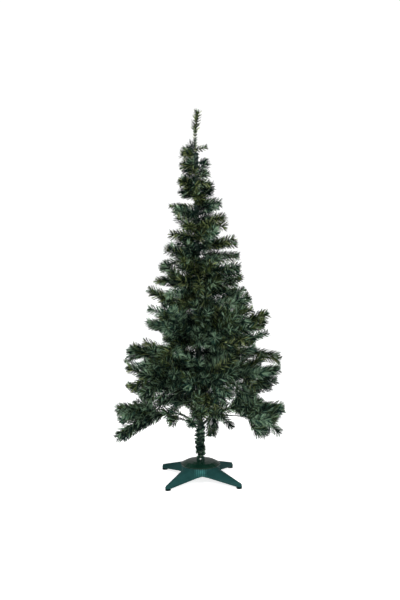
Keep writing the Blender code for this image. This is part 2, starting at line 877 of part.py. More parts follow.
def build():
    clear_scene()
    parts = collection("christmas_tree")
    green_metal = material("green_painted_metal", (0.018, 0.045, 0.024), 0.45)
    tinsel = material("tinsel", (0.020, 0.055, 0.022), 0.60)
    teal = material("teal_plastic", (0.013, 0.074, 0.067), 0.38)
    steel = material("screw_steel", (0.62, 0.62, 0.60), 0.30, 1.0)
    needles = material("needles", (0.022, 0.060, 0.038), 0.65)

    pole = build_pole(parts, green_metal)
    garland = build_garland(parts, tinsel)
    halves = [
        build_half("stand_left", STAND_TURN_DEG, parts, teal),
        build_half("stand_right", STAND_TURN_DEG + 180.0, parts, teal),
    ]
    cap = build_cap(parts, teal)
    build_screw(parts, steel)
    for index, turn in enumerate(LEG_BEARINGS + tuple(turn + 180.0 for turn in LEG_BEARINGS), 1):
        build_foot(index, turn + STAND_TURN_DEG, parts, teal)

    masses = masses_on_boughs(parts, green_metal) + masses_on_pole()
    stems = [
        twig(mass.name, mass.foot, mass.heading, mass.stem, STEM_RADIUS, STEM_TIP_RADIUS, parts, needles)
        for mass in masses
    ]
    blade = blade_mesh()
    leader = build_leader(parts, needles, blade)
    limbs = [item for item in parts.objects if item.name.startswith(("bough", "stand", "foot"))]
    limbs += [pole, garland, leader]
    taken = [surface_of(item) for item in limbs]
    stem_trees = [surface_of(stem) for stem in stems]
    for index, (mass, stem) in enumerate(zip(masses, stems)):
        others = stem_trees[:index] + stem_trees[index + 1:]
        taken += grow(mass, stem, blade, taken + others)
    for item in [pole, garland, cap, *halves]:
        shade_round(item)
    bpy.data.meshes.remove(blade)


build()
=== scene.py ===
"""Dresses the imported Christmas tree: wrapped pole, wired boughs, brushes of film needles, stand and studio.

Metres, +Z up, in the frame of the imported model. Bearings are degrees from +X, anticlockwise seen
from above, so 270 points at the viewer. The foliage grows by the source's own rule, carried on to
finer twigs: every toothed blade of the model becomes a spray of bottle brushes on twisted wire.
"""

import math
import random
from typing import NamedTuple

import bmesh
import bpy
import numpy as np
from bpy.props import FloatProperty, FloatVectorProperty, IntProperty, PointerProperty
from mathutils import Matrix, Vector
from mathutils.bvhtree import BVHTree


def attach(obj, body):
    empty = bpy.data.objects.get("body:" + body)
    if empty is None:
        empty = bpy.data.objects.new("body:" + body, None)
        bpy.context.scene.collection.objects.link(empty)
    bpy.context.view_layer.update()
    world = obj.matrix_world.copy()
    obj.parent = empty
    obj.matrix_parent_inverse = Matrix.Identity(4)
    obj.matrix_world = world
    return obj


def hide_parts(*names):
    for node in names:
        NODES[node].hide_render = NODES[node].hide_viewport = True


bl_info = {
    "name": "Artificial Christmas Tree",
    "version": (1, 0, 0),
    "blender": (4, 5, 0),
    "location": "View3D > Sidebar > Tree",
    "description": "Grows brush boughs of film needles on the packed tree and finishes its pole and stand",
    "category": "Add Mesh",
}

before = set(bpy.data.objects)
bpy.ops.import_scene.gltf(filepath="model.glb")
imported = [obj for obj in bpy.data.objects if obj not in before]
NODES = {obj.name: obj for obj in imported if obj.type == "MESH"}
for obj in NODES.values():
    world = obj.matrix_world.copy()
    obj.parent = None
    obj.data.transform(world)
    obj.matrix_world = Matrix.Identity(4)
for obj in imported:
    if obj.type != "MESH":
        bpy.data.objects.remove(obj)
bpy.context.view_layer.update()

UP = Vector((0.0, 0.0, 1.0))

# Clearance between two pieces, as in the model
GAP = 0.0003

# Pole, as in the model: three tubes of falling diameter, each with a sleeve at its foot
POLE_LEAN_DEG = 0.8
POLE_FOOT = 0.0163
POLE_TOP = 1.600
POLE_JOINTS = (0.60, 1.12)
POLE_RADII = (0.0125, 0.0110, 0.0095)
SLEEVE_LENGTH = 0.045
SLEEVE_WALL = 0.0012
POLE_BORE = 0.0083

# Garland round the bare foot of the pole, in tufts of strands, some of them pale as painted glints. Above it
# the strands shorten to the fluff on the rest of the pole
GARLAND_BOTTOM = 0.1165
GARLAND_TOP = 0.262
GARLAND_END = 0.004
GARLAND_REACH = 0.0360
POLE_FLUFF = 0.0205
SHORTEN_FROM = GARLAND_TOP + 0.02
SHORTEN_TO = GARLAND_TOP + 0.09
GARLAND_SEED = 17
GLINT_EVERY = 5
DARK_STRANDS = 0.7
PALE_STRANDS = 0.8
TUFT = 8
TUFT_REACH = (0.4, 1.0)
TUFT_TURN = 1.1
TUFT_LEAN = 0.5
STRAND_STRAY = 0.001
STRAND_TURN = 0.06
STRAND_LEAN = 0.1
STRAND_KNEE = 0.55
STRAND_LIFT = 0.35

# Tape: the share of a turn in which its lap steps down, and how finely the pole and boughs are cut for it
LAP_STEP = 0.08
SLEEVE_CHAMFER = 0.0006
POLE_CUTS = 150
POLE_SIDES = 28
SHARP_DEG = 50
BOUGH_RING_EVERY = 0.0015
BOUGH_SIDES = 10
BOUGH_SHADE = 0.5

# Boughs and the stems that carry each mass of foliage
BOUGH_SEAT = 0.008
BOUGH_ROOT_RADIUS = 0.0040
BOUGH_TIP_RADIUS = 0.0028
BOUGH_STEPS = 4
STEM_RADIUS = 0.0042
STEM_TIP_RADIUS = 0.0026
STEM_SIDES = 3

# Blades, the sprays of the model, in whose space the brushes stay. Their outline's points are shares of
# their length and width
BLADE_THICKNESS = 0.0022
BLADE_ROOT = 0.045
BLADE_OUTLINE = ((0.26, 0.5), (0.86, 0.5), (1.0, 0.25))
KEEP_CLEAR = 0.0008
OWN_CLEAR = 0.18
TRIES = 24
GOLDEN_ANGLE = 137.5
TURN_JITTER_DEG = 28.0
OFF_JITTER = (0.8, 1.15)
LENGTH_JITTER = (0.93, 1.0)
END_SPRAY_OFF_DEG = 8.0
SPRAYS_FROM = 0.10
SPRAYS_SPAN = 0.82
STRIDE = 0.005
SEED = 338

# The crown's outline: its radius at rising heights above the floor
OUTLINE = (
    (0.18, 0.419),
    (0.30, 0.430),
    (0.42, 0.424),
    (0.66, 0.403),
    (0.74, 0.358),
    (0.94, 0.278),
    (0.99, 0.219),
    (1.20, 0.181),
    (1.38, 0.133),
    (1.50, 0.095),
    (1.62, 0.066),
    (1.66, 0.030),
)


class Fan(NamedTuple):
    """How sprays leave a stem: how many, how far off its line at its root and tip, and their sizes.

    Flatness is their spread up and down against that to the sides. Hang turns them down, by more
    towards the stem's tip.
    """

    sprays: int
    root_deg: float
    tip_deg: float
    flatness: float
    hang: float
    shortest: float = 0.08
    longest: float = 0.215
    width: float = 0.118


class Tier(NamedTuple):
    """A ring of boughs at one height."""

    name: str
    height: float
    bearings: tuple
    run: float
    rise_deg: float
    stem: float
    tilt_deg: float
    side_droop_deg: float
    fan: Fan


class Mass(NamedTuple):
    """A mass of foliage: the foot of its stem, the way the stem goes, and the sprays along it."""

    name: str
    foot: Vector
    heading: Vector
    stem: float
    fan: Fan


class Spray(NamedTuple):
    """One spray: its root, its heading, its roll about that, and its length and width."""

    start: Vector
    heading: Vector
    roll: float
    length: float
    width: float


class Brush(NamedTuple):
    """One bottle brush: its wire's course from root to tip, and how long and thick its needles stand.

    Bare is the share of the wire at its root that has no needles.
    """

    course: np.ndarray
    needle: float
    thickness: float
    colour: str
    bare: float = 0.0


TIERS = (
    Tier(
        name="low",
        height=0.276,
        bearings=(194, 262, 328, 24, 112),
        run=0.155,
        rise_deg=44.8,
        stem=0.124,
        tilt_deg=11.9,
        side_droop_deg=10.0,
        fan=Fan(sprays=7, root_deg=68.2, tip_deg=29.1, flatness=0.62, hang=0.10),
    ),
    Tier(
        name="middle",
        height=0.498,
        bearings=(211, 281, 349, 59, 137),
        run=0.056,
        rise_deg=47.6,
        stem=0.119,
        tilt_deg=3.9,
        side_droop_deg=0.0,
        fan=Fan(sprays=7, root_deg=63.7, tip_deg=21.8, flatness=1.09, hang=0.00),
    ),
    Tier(
        name="upper",
        height=0.673,
        bearings=(159, 228, 300, 10, 84),
        run=0.040,
        rise_deg=42.8,
        stem=0.135,
        tilt_deg=20.0,
        side_droop_deg=0.0,
        fan=Fan(sprays=7, root_deg=66.7, tip_deg=24.1, flatness=0.95, hang=-0.10),
    ),
)

# Crown: clusters of brush twigs that leave the pole itself, one above another on a spiral
CLUSTERS = 18
CLUSTER_CROWDING = 1.17
FULL_CLUSTERS = 9
FULL_CLUSTER = 4
CLUSTER_FOOT = 0.866
CLUSTER_TOP = 1.528
CLUSTER_BEARING = 318.5
CLUSTER_TILT_FOOT = 6.0
CLUSTER_TILT_TOP = 18.0
CLUSTER_STEM = 0.032
CLUSTER_FAN = Fan(
    sprays=3,
    root_deg=67.3,
    tip_deg=37.4,
    flatness=0.60,
    hang=0.04,
    shortest=0.06,
    longest=0.22,
    width=0.097,
)

# Leader: the one upright brush at the very top
LEADER_TOP = 1.800
LEADER_FOOT = POLE_TOP + GAP

# The crown's reach to the viewer's left and right at rising heights, as shares of its outline
SIDES = (
    (0.30, 1.00, 1.00),
    (0.60, 1.00, 1.00),
    (0.66, 0.94, 0.90),
    (0.74, 0.72, 0.96),
    (0.84, 0.80, 1.06),
    (0.90, 0.84, 0.96),
    (1.02, 1.00, 1.06),
    (1.12, 0.88, 1.14),
    (1.30, 0.74, 0.92),
    (1.55, 0.82, 0.78),
)

# How far short of a blade's tip a brush's wire ends, for the needles that stand beyond it
TIP_SPACE = 0.014

# Sky that shows between the branches and beside them, seen from the front: how far to the right of the
# origin and above the floor each gap has its middle, and half its width and height
SKY = (
    (0.010, 1.600, 0.020, 0.020),
    (0.055, 1.515, 0.020, 0.044),
    (0.060, 1.385, 0.034, 0.007),
    (-0.080, 1.365, 0.029, 0.010),
    (-0.140, 1.305, 0.015, 0.024),
    (0.065, 1.305, 0.022, 0.001),
    (0.135, 1.212, 0.030, 0.007),
    (0.150, 1.070, 0.033, 0.001),
    (0.075, 1.130, 0.026, 0.004),
    (-0.225, 1.065, 0.029, 0.024),
    (-0.175, 1.005, 0.029, 0.007),
    (-0.175, 0.945, 0.029, 0.015),
    (-0.225, 0.880, 0.039, 0.020),
    (-0.240, 0.805, 0.029, 0.012),
    (-0.210, 0.710, 0.034, 0.024),
    (-0.300, 0.595, 0.030, 0.004),
    (-0.340, 0.505, 0.029, 0.017),
    (-0.365, 0.400, 0.039, 0.020),
    (-0.140, 0.425, 0.012, 0.004),
    (-0.075, 0.355, 0.029, 0.002),
    (-0.070, 0.310, 0.020, 0.005),
    (-0.080, 0.240, 0.049, 0.010),
    (-0.315, 0.200, 0.024, 0.020),
    (0.190, 0.305, 0.015, 0.010),
    (-0.085, 0.215, 0.059, 0.055),
    (-0.205, 0.262, 0.045, 0.048),
    (-0.325, 0.165, 0.039, 0.029),
    (0.208, 0.250, 0.036, 0.055),
    (0.335, 0.160, 0.049, 0.029),
    (0.315, 0.420, 0.034, 0.020),
    (0.415, 0.290, 0.024, 0.024),
    (0.250, 0.600, 0.010, 0.001),
    (0.358, 0.573, 0.012, 0.002),
    (0.150, 0.395, 0.002, 0.001),
    (0.355, 0.390, 0.034, 0.005),
    (0.240, 0.722, 0.012, 0.002),
    (0.280, 0.885, 0.024, 0.010),
    (0.305, 0.675, 0.034, 0.020),
)

# Room kept round each gap, the bends that a brush tries so as to pass it, and the shortest one kept
SKY_MARGIN = 0.016
BENDS = (0.0, 0.12, -0.12, 0.25, -0.25)
SHORTEST_BRUSH = 0.035

# Brushes that stand out of the crown's sides, seen from the front: where each leaves the branches and
# where it ends, to the right of the origin and above the floor, and how full it is
EDGE_BRUSHES = (
    (-0.030, 1.600, -0.090, 1.610, 1.0),
    (-0.030, 1.550, -0.100, 1.525, 1.0),
    (-0.030, 1.580, -0.100, 1.595, 1.0),
    (-0.030, 1.460, -0.105, 1.450, 0.75),
    (-0.030, 1.410, -0.095, 1.395, 0.75),
    (0.005, 1.465, 0.050, 1.450, 0.8),
    (0.005, 1.435, 0.065, 1.420, 0.6),
    (-0.030, 1.345, -0.155, 1.345, 0.55),
    (-0.015, 1.612, 0.034, 1.628, 0.60),
    (-0.005, 1.270, 0.130, 1.245, 1.0),
    (-0.005, 1.220, 0.090, 1.200, 1.0),
    (0.015, 1.170, 0.180, 1.160, 0.8),
    (-0.160, 0.510, -0.290, 0.465, 0.9),
    (-0.140, 0.465, -0.250, 0.435, 0.8),
    (0.015, 1.335, 0.090, 1.340, 0.7),
    (0.085, 1.020, 0.190, 1.020, 0.8),
    (0.185, 0.695, 0.300, 0.720, 0.8),
    (0.075, 0.425, 0.165, 0.455, 0.9),
    (0.015, 1.115, 0.190, 1.105, 0.8),
    (0.005, 1.030, 0.195, 1.040, 0.85),
    (0.025, 1.005, 0.190, 0.990, 0.85),
    (0.015, 0.980, 0.185, 0.965, 1.0),
    (0.105, 0.910, 0.220, 0.945, 0.9),
    (0.135, 0.880, 0.250, 0.890, 0.9),
    (0.195, 0.780, 0.300, 0.790, 0.9),
    (-0.050, 0.965, -0.195, 0.985, 1.0),
    (-0.140, 0.890, -0.260, 0.945, 1.0),
    (-0.120, 0.875, -0.245, 0.925, 1.0),
    (-0.170, 0.995, -0.215, 0.980, 0.6),
    (-0.110, 0.850, -0.200, 0.895, 1.0),
    (-0.150, 0.815, -0.260, 0.845, 1.0),
    (-0.170, 0.645, -0.285, 0.685, 1.0),
    (-0.225, 0.630, -0.355, 0.650, 1.0),
    (-0.225, 0.645, -0.340, 0.665, 1.0),
    (-0.190, 0.650, -0.345, 0.645, 1.0),
    (-0.225, 0.625, -0.365, 0.625, 1.0),
    (-0.240, 0.555, -0.365, 0.565, 1.0),
    (-0.260, 0.425, -0.365, 0.475, 0.8),
    (-0.025, 0.275, -0.130, 0.350, 0.35),
    (-0.030, 0.255, -0.125, 0.310, 0.35),
    (-0.080, 0.405, -0.220, 0.360, 1.0),
    (-0.100, 0.375, -0.200, 0.335, 1.0),
    (-0.020, 0.395, -0.055, 0.345, 0.9),
    (-0.140, 0.355, -0.150, 0.285, 0.7),
    (0.075, 0.480, 0.155, 0.470, 0.9),
    (0.205, 0.440, 0.170, 0.380, 0.7),
    (0.225, 0.455, 0.195, 0.415, 0.7),
    (0.025, 0.355, 0.105, 0.295, 0.8),
    (-0.290, 0.365, -0.415, 0.328, 0.8),
    (-0.250, 0.375, -0.405, 0.290, 0.9),
    (-0.325, 0.625, -0.375, 0.585, 0.6),
    (-0.180, 0.345, -0.420, 0.200, 1.0),
    (-0.200, 0.325, -0.390, 0.205, 1.0),
    (0.070, 0.940, 0.180, 0.930, 1.0),
    (0.145, 0.870, 0.240, 0.915, 1.0),
    (0.185, 0.820, 0.260, 0.845, 1.0),
    (0.220, 0.795, 0.335, 0.825, 1.0),
    (0.220, 0.745, 0.315, 0.760, 0.8),
    (0.230, 0.685, 0.335, 0.730, 0.8),
    (0.195, 0.635, 0.270, 0.665, 1.0),
    (0.215, 0.650, 0.395, 0.590, 1.0),
    (0.240, 0.645, 0.390, 0.615, 0.9),
    (0.270, 0.535, 0.390, 0.555, 1.0),
    (0.275, 0.465, 0.380, 0.495, 1.0),
    (0.245, 0.450, 0.350, 0.460, 1.0),
    (0.285, 0.350, 0.415, 0.355, 0.75),
    (0.105, 0.445, 0.120, 0.365, 0.9),
    (0.275, 0.340, 0.395, 0.325, 1.0),
    (0.275, 0.310, 0.395, 0.225, 1.0),
    (0.235, 0.315, 0.330, 0.215, 1.0),
    (0.100, 0.325, 0.160, 0.255, 0.9),
    (0.030, 0.345, 0.042, 0.214, 0.7),
    (0.045, 0.345, 0.055, 0.212, 1.0),
    (-0.005, 0.395, 0.105, 0.430, 0.9),
    (-0.005, 0.405, -0.080, 0.375, 0.8),
    (0.015, 0.345, 0.125, 0.375, 0.8),
    (0.065, 0.485, 0.155, 0.405, 0.8),
    (0.050, 0.335, 0.072, 0.222, 0.8),
    (0.210, 0.435, 0.250, 0.520, 1.0),
    (0.010, 0.905, 0.145, 0.925, 1.0),
)

# How near the front plane an edge brush's root lies, in what steps the pole is searched for it, the room for
# the needles at its tip, how far it bends up, how thick it stands, and which are thin and which are dark
EDGE_DEPTH = 0.10
EDGE_STEP = 0.01
EDGE_SPACE = 0.022
EDGE_BEND = (-0.05, 0.08)
EDGE_THICKNESS = 1.3
EDGE_FILL = 0.3
THIN = 0.7
DARK_BELOW = 0.45

# Ribs on the hub's front, painted pale as a highlight where light catches them: half their span and where
# they are full, and how far apart they are
RIBS_ACROSS = 0.034
RIBS_FULL_ACROSS = 0.3 * RIBS_ACROSS
RIBS_FRONT = -0.080
RIBS_FADE = 0.012
RIBS_FOOT = 0.030
RIBS_RISE = 0.022
RIBS_PITCH = 0.0095
RIBS_HIGHLIGHT = 2.4
RIBS_BETWEEN = 0.2
RIBS_SATURATION = 0.86

# Camera: its eye's place to the right, its distance and height, and its sensor in millimetres
EYE_RIGHT = -0.003
EYE_DISTANCE = 3.7
EYE_HEIGHT = 1.167
SENSOR_WIDTH = 36.0

# Backdrop: its brightness to the camera, how much the room's light dims from its front to its back, and the
# point that the lamps look at
BACKDROP_WHITE = 1.06
DIM_FROM = -0.2
DIM_TO = 0.5
DIM_SHARE = 0.55
LIT_POINT = Vector((0.0, 0.0, 0.8))

# Floor's colour
PAPER = (0.97, 0.97, 0.97)

# Values between which the shaders' noise mostly stays
NOISE_RANGE = (0.3, 0.7)

# Brightness of the feet against the stand, and the weak shine of both
FOOT_SHADE = 0.3
MATT_PLASTIC = 0.02

# Brush along a spray's blade: its least and greatest share of the blade, and how far it bends up
SPRAY_SHARES = (0.55, 1.10)
SPRAY_BEND = (-0.04, 0.09)
SPRAY_THICKNESS = 1.1
STEM_THICKNESS = 0.9

# Side twigs of a spray on a bough: where they leave it and how long they are, as shares of its brush
SIDE_TWIGS = 2
SIDE_FROM = 0.16
SIDE_STEP = 0.26
SIDE_STRAY = 0.05
SIDE_OFF_DEG = (26, 42)
SIDE_OVER_DEG = 24
SIDE_LENGTH = (0.50, 0.62)
SIDE_SHORTER = 0.18
SIDE_BEND = 0.12
SIDE_BARE = 0.06

# Needles of the tufts that cover a bough itself, which in the low tier are thin stubs
SHORT_TUFT = 0.016
STUBS = 0.011
STUB_THICKNESS = 0.5

# Twigs that fill the crown's inside, on the boughs above the low tier and on the pole
BOUGH_TWIGS = 5
BOUGH_TWIG_FROM = 0.9
BOUGH_TWIG_TURN_DEG = 60
BOUGH_TWIG_OFF_DEG = (36, 66)
BOUGH_TWIG_LENGTH = (0.07, 0.125)
BOUGH_TWIG_BEND = 0.01
BOUGH_TWIG_BARE = 0.04
POLE_TWIGS = 34
POLE_TWIGS_FOOT = 0.385
POLE_TWIGS_TOP = 0.840
POLE_TWIG_TURN_DEG = 20
POLE_TWIG_TILT_DEG = (-5, 38)
POLE_TWIG_LENGTH = (0.08, 0.14)
POLE_TWIG_BEND = 0.07
CROWN_TWIGS = 84
CROWN_TWIGS_TOP = 1.618
CROWN_TWIG_TILT_DEG = (-6, 16)
CROWN_TWIG_SHARE = (0.55, 1.0)
CROWN_TWIG_SHORTEST = 0.028
CROWN_TWIG_LONGEST = 0.11
CROWN_TWIG_SPACE = 0.6

# Leader's brushes: the room above them, how they lean and bend back, each one's needles as shares of the
# usual length and fullness, and the point of the wire where its head begins
LEADER_SPACE = 0.012
LEADER_LEAN = -0.11
LEADER_BEND = 0.030
LEADER_WAIST = (0.42, 1.1)
LEADER_HEAD = (0.80, 0.85)
LEADER_HEAD_FROM = 4

# Wires: a direction that none runs along, how many points their courses have, their sides, and their radii
# at root and tip as shares
OFF_WIRE = (0.31, 0.22, 0.93)
SPRAY_POINTS = 9
TWIG_POINTS = 6
BOUGH_TWIG_POINTS = 5
WIRE_SIDES = 5
WIRE_TAPER = (1.3, 0.8)
STEM_WIRE_SHARE = 0.75

# Most needles in one piece
MOST_NEEDLES = 60000

# Heights between which the needles change from swept, longer ones to those that stand out level
SWEPT_TO = 0.55
UPRIGHT_FROM = 1.0
LOW_LONGER = 0.10
LOW_DENSITY = 0.95

# A needle: where it bends, how its bend and length vary, how far it strays along its wire, its width at the
# bend, and the least angle between its tip and the wire
NEEDLE_SEED = 29
KNEE = 0.7
LEAST_RAKE = 0.02
CURL_VARIES = (0.5, 1.5)
LENGTH_VARIES = (0.88, 1.04)
ROOT_STRAY = 0.0008
NEEDLE_TAPER = 0.9

# A brush's blunt tip: how many needles stand on its wire's end and in what length of it, how long they are
# against the others, and the length in which the rake closes, and how sharply
END_NEEDLES = 63
END_SPAN = 0.008
END_LENGTH = 0.78
CLOSING = 0.022
CLOSING_CURVE = 1.5

# Heights from which the brushes turn from dark and bluish to olive, and over which they do
TURN_OLIVE_FROM = 0.3
TURN_OLIVE_OVER = 1.05

# Share of the pole's own twigs that take the core mix: painted shade, dark as the crown's core
CORE_SHARE = 0.6

# Shares of the needles' colours in a brush, by the brush's own colour. Pale and straw needles are painted
# highlight, and the core mix is dark as painted shade deep in the crown
MIXES = {
    "core": {"deep": 0.80, "moss": 0.10, "olive": 0.00, "blue": 0.04, "pale": 0.06},
    "deep": {"deep": 0.55, "moss": 0.12, "olive": 0.08, "blue": 0.05, "pale": 0.20},
    "warm": {"deep": 0.42, "moss": 0.24, "olive": 0.14, "blue": 0.02, "straw": 0.14, "pale": 0.04},
    "blue": {"deep": 0.48, "moss": 0.06, "olive": 0.06, "blue": 0.18, "pale": 0.22},
    "olive": {"deep": 0.30, "moss": 0.28, "olive": 0.20, "blue": 0.04, "pale": 0.18},
    "golden": {"deep": 0.26, "moss": 0.30, "olive": 0.27, "straw": 0.12, "pale": 0.05},
    "pale": {"deep": 0.20, "moss": 0.06, "olive": 0.08, "blue": 0.24, "pale": 0.42},
}


class TreeNeedles(bpy.types.PropertyGroup):
    """Sizes of the needles and of the wires that they are twisted into."""

    length: FloatProperty(
        name="Needle Length", description="Length of a cut film needle", default=0.041, unit="LENGTH"
    )
    width: FloatProperty(
        name="Needle Width", description="Width of a needle at its root", default=0.0017, unit="LENGTH"
    )
    per_metre: IntProperty(
        name="Needles per Metre", description="Needles along a metre of brush", default=3900, min=200
    )
    rake: FloatProperty(
        name="Rake", description="Angle between a needle and its wire",
        default=math.radians(52), subtype="ANGLE"
    )
    low_rake: FloatProperty(
        name="Low Rake", description="The same angle in the lower tiers",
        default=math.radians(44), subtype="ANGLE"
    )
    tip_rake: FloatProperty(
        name="Tip Rake", description="The same angle at a brush's tip",
        default=math.radians(41), subtype="ANGLE"
    )
    curl: FloatProperty(
        name="Curl", description="How far a needle bends forward at its middle",
        default=math.radians(6), subtype="ANGLE"
    )
    wire_radius: FloatProperty(
        name="Wire Radius", description="Radius of a brush's twisted wire", default=0.0012, unit="LENGTH"
    )
    clump: IntProperty(
        name="Clump", description="Needles that lie together, as the twist of the wire grips them",
        default=4, min=1
    )
    clump_spread: FloatProperty(
        name="Clump Spread", description="How far the needles of a clump part",
        default=math.radians(0.8), subtype="ANGLE"
    )
    pitch: FloatProperty(
        name="Pitch", description="Length in which the wires turn once round each other", default=0.026,
        min=0.005, unit="LENGTH"
    )
    disorder: FloatProperty(
        name="Disorder", description="How far the clumps stray from their row", default=math.radians(7),
        subtype="ANGLE"
    )


class TreeWraps(bpy.types.PropertyGroup):
    """Sizes of the tape round the pole and boughs and of the garland at the pole's foot."""

    pole_pitch: FloatProperty(
        name="Pole Tape Pitch", description="Rise of the pole's tape in one turn",
        default=0.019, unit="LENGTH"
    )
    pole_lap: FloatProperty(
        name="Pole Tape Lap", description="Height of the step where the tape laps itself",
        default=0.0005, unit="LENGTH"
    )
    bough_pitch: FloatProperty(
        name="Bough Tape Pitch", description="Rise of a bough's tape in one turn",
        default=0.009, unit="LENGTH"
    )
    bough_lap: FloatProperty(
        name="Bough Tape Lap", description="Height of the lap on a bough", default=0.0005, unit="LENGTH"
    )
    garland_pitch: FloatProperty(
        name="Garland Pitch", description="Rise of the garland in one turn", default=0.021, unit="LENGTH"
    )
    garland_strands: IntProperty(
        name="Garland Strands", description="Cut strands round the pole's foot", default=2600, min=100
    )
    strand_width: FloatProperty(
        name="Strand Width", description="Width of a strand at its root", default=0.0034, unit="LENGTH"
    )
    pole_strands: IntProperty(
        name="Pole Strands", description="Short strands on the rest of the pole", default=12000, min=100
    )


class TreeColours(bpy.types.PropertyGroup):
    """Base colours of the tree's finishes."""

    deep: FloatVectorProperty(
        name="Deep Green", description="The darkest needles", subtype="COLOR", default=(0.005, 0.016, 0.012)
    )
    moss: FloatVectorProperty(
        name="Moss", description="Darkest needles of the olive brushes", default=(0.011, 0.018, 0.008),
        subtype="COLOR", size=3
    )
    blue: FloatVectorProperty(
        name="Bluish Green", description="Needles that lean to blue", subtype="COLOR",
        default=(0.025, 0.080, 0.062)
    )
    olive: FloatVectorProperty(
        name="Olive Green", description="Needles that lean to yellow", subtype="COLOR",
        default=(0.074, 0.108, 0.032)
    )
    # Pale Green is painted highlight: needles of this pale base colour stand in for glints of light on the
    # film
    pale: FloatVectorProperty(
        name="Pale Green", description="The lightest needles", subtype="COLOR",
        default=(0.275, 0.415, 0.275)
    )
    # Straw Green is painted highlight too: the yellower glints high in the crown
    straw: FloatVectorProperty(
        name="Straw Green", description="The lightest needles high up", subtype="COLOR",
        default=(0.310, 0.370, 0.160)
    )
    cap: FloatVectorProperty(
        name="Cap Plastic", description="Duller plastic of the stand's cap", subtype="COLOR",
        default=(0.0045, 0.024, 0.015)
    )
    paint: FloatVectorProperty(
        name="Pole Paint", description="Paint and tape of the pole", subtype="COLOR",
        default=(0.012, 0.032, 0.020)
    )
    wire: FloatVectorProperty(
        name="Wire", description="Twisted wire of the brushes", subtype="COLOR",
        default=(0.012, 0.022, 0.013)
    )
    plastic: FloatVectorProperty(
        name="Stand Plastic", description="Moulded plastic of the stand", subtype="COLOR",
        default=(0.0075, 0.053, 0.050)
    )
    steel: FloatVectorProperty(
        name="Screw Steel", description="Plated steel of the locking screw", subtype="COLOR",
        default=(0.62, 0.62, 0.60)
    )


class TreeStudio(bpy.types.PropertyGroup):
    """Where the camera stands and how bright the studio is."""

    distance: FloatProperty(
        name="Distance", description="From the camera to the pole", default=EYE_DISTANCE, unit="LENGTH"
    )
    height: FloatProperty(
        name="Camera Height", description="Height of the camera above the floor",
        default=EYE_HEIGHT, unit="LENGTH"
    )
    pitch: FloatProperty(
        name="Pitch", description="How far the camera looks down",
        default=math.radians(4.3), subtype="ANGLE"
    )
    lens: FloatProperty(
        name="Lens", description="Focal length in millimetres", default=45.6
    )
    floor: FloatProperty(
        name="Floor", description="Radius of the floor", default=30.0, unit="LENGTH"
    )
    glow: FloatProperty(
        name="Floor Glow", description="Light that the lit floor gives off of its own", default=0.8, min=0.0
    )
    bounce: FloatProperty(
        name="Bounce", description="Light that the floor gives the tree", default=0.2, min=0.0
    )
    room: FloatProperty(
        name="Room Light", description="Brightness of the room round the tree", default=0.65, min=0.0
    )
    key: FloatProperty(
        name="Key Light", description="Power of the soft light at the upper left",
        default=120.0, unit="POWER"
    )
    fill: FloatProperty(
        name="Fill Light", description="Power of the soft light at the right", default=40.0, unit="POWER"
    )


def bearing(degrees, tilt=0.0):
    """The unit vector at this bearing, tilted this far above the horizontal."""
    flat = math.cos(math.radians(tilt))
    return Vector((
        math.cos(math.radians(degrees)) * flat,
        math.sin(math.radians(degrees)) * flat,
        math.sin(math.radians(tilt)),
    ))


def leaning():
    """The turn that carries the upright Z axis on to the pole's axis."""
    return Matrix.Rotation(-math.radians(POLE_LEAN_DEG), 4, "Y")


def pole_axis(height):
    """The point of the leaning pole's axis at this height."""
    return Vector((-math.tan(math.radians(POLE_LEAN_DEG)) * height, 0.0, height))


def pole_radius(height):
    """The pole's outer radius at this height, with the sleeve over each joint."""
    section = sum(height >= joint for joint in POLE_JOINTS)
    radius = POLE_RADII[section]
    if section and height < POLE_JOINTS[section - 1] + SLEEVE_LENGTH:
        radius = POLE_RADII[section - 1] + SLEEVE_WALL
    return radius


def finished(name, shape, finish, slot, *replaced):
    """Makes the piece of this bmesh, gives it its finish, and lets it ride on the tree."""
    mesh = bpy.data.meshes.new(name)
    shape.to_mesh(mesh)
    shape.free()
    return placed(name, mesh, finish, slot, *replaced)


def placed(name, mesh, finish, slot, *replaced):
    """Links a piece of this mesh and lets it ride on the tree in place of some of the model's nodes."""
    mesh.materials.append(finish)
    piece = bpy.data.objects.new(name, mesh)
    bpy.context.scene.collection.objects.link(piece)
    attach(piece, "root")
    if replaced:
        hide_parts(*replaced)
    return piece


# Finishes


def node_group(name, inputs, outputs):
    """An empty shader group with these sockets, and its input and output nodes."""
    group = bpy.data.node_groups.new(name, "ShaderNodeTree")
    for label, kind, default in inputs:
        socket = group.interface.new_socket(label, in_out="INPUT", socket_type=kind)
        socket.default_value = default
    for label, kind in outputs:
        group.interface.new_socket(label, in_out="OUTPUT", socket_type=kind)
    return group, group.nodes.new("NodeGroupInput"), group.nodes.new("NodeGroupOutput")


def add_node(tree, kind, inputs, **settings):
    """A new shader node. Each of its inputs is given a value, or is linked to another node's output."""
    node = tree.nodes.new(kind)
    for name, value in settings.items():
        setattr(node, name, value)
    for label, value in inputs.items():
        if isinstance(value, bpy.types.NodeSocket):
            tree.links.new(value, node.inputs[label])
        else:
            node.inputs[label].default_value = value
    return node


def reckon(tree, operation, *values):
    """The output of a Math node on these values."""
    return add_node(tree, "ShaderNodeMath", dict(enumerate(values)), operation=operation).outputs[0]


def span(tree, value, low, high, to_low=0.0, to_high=1.0):
    """A value read between two limits, and carried to two others."""
    limits = {"From Min": low, "From Max": high, "To Min": to_low, "To Max": to_high}
    return add_node(tree, "ShaderNodeMapRange", {"Value": value, **limits}).outputs["Result"]


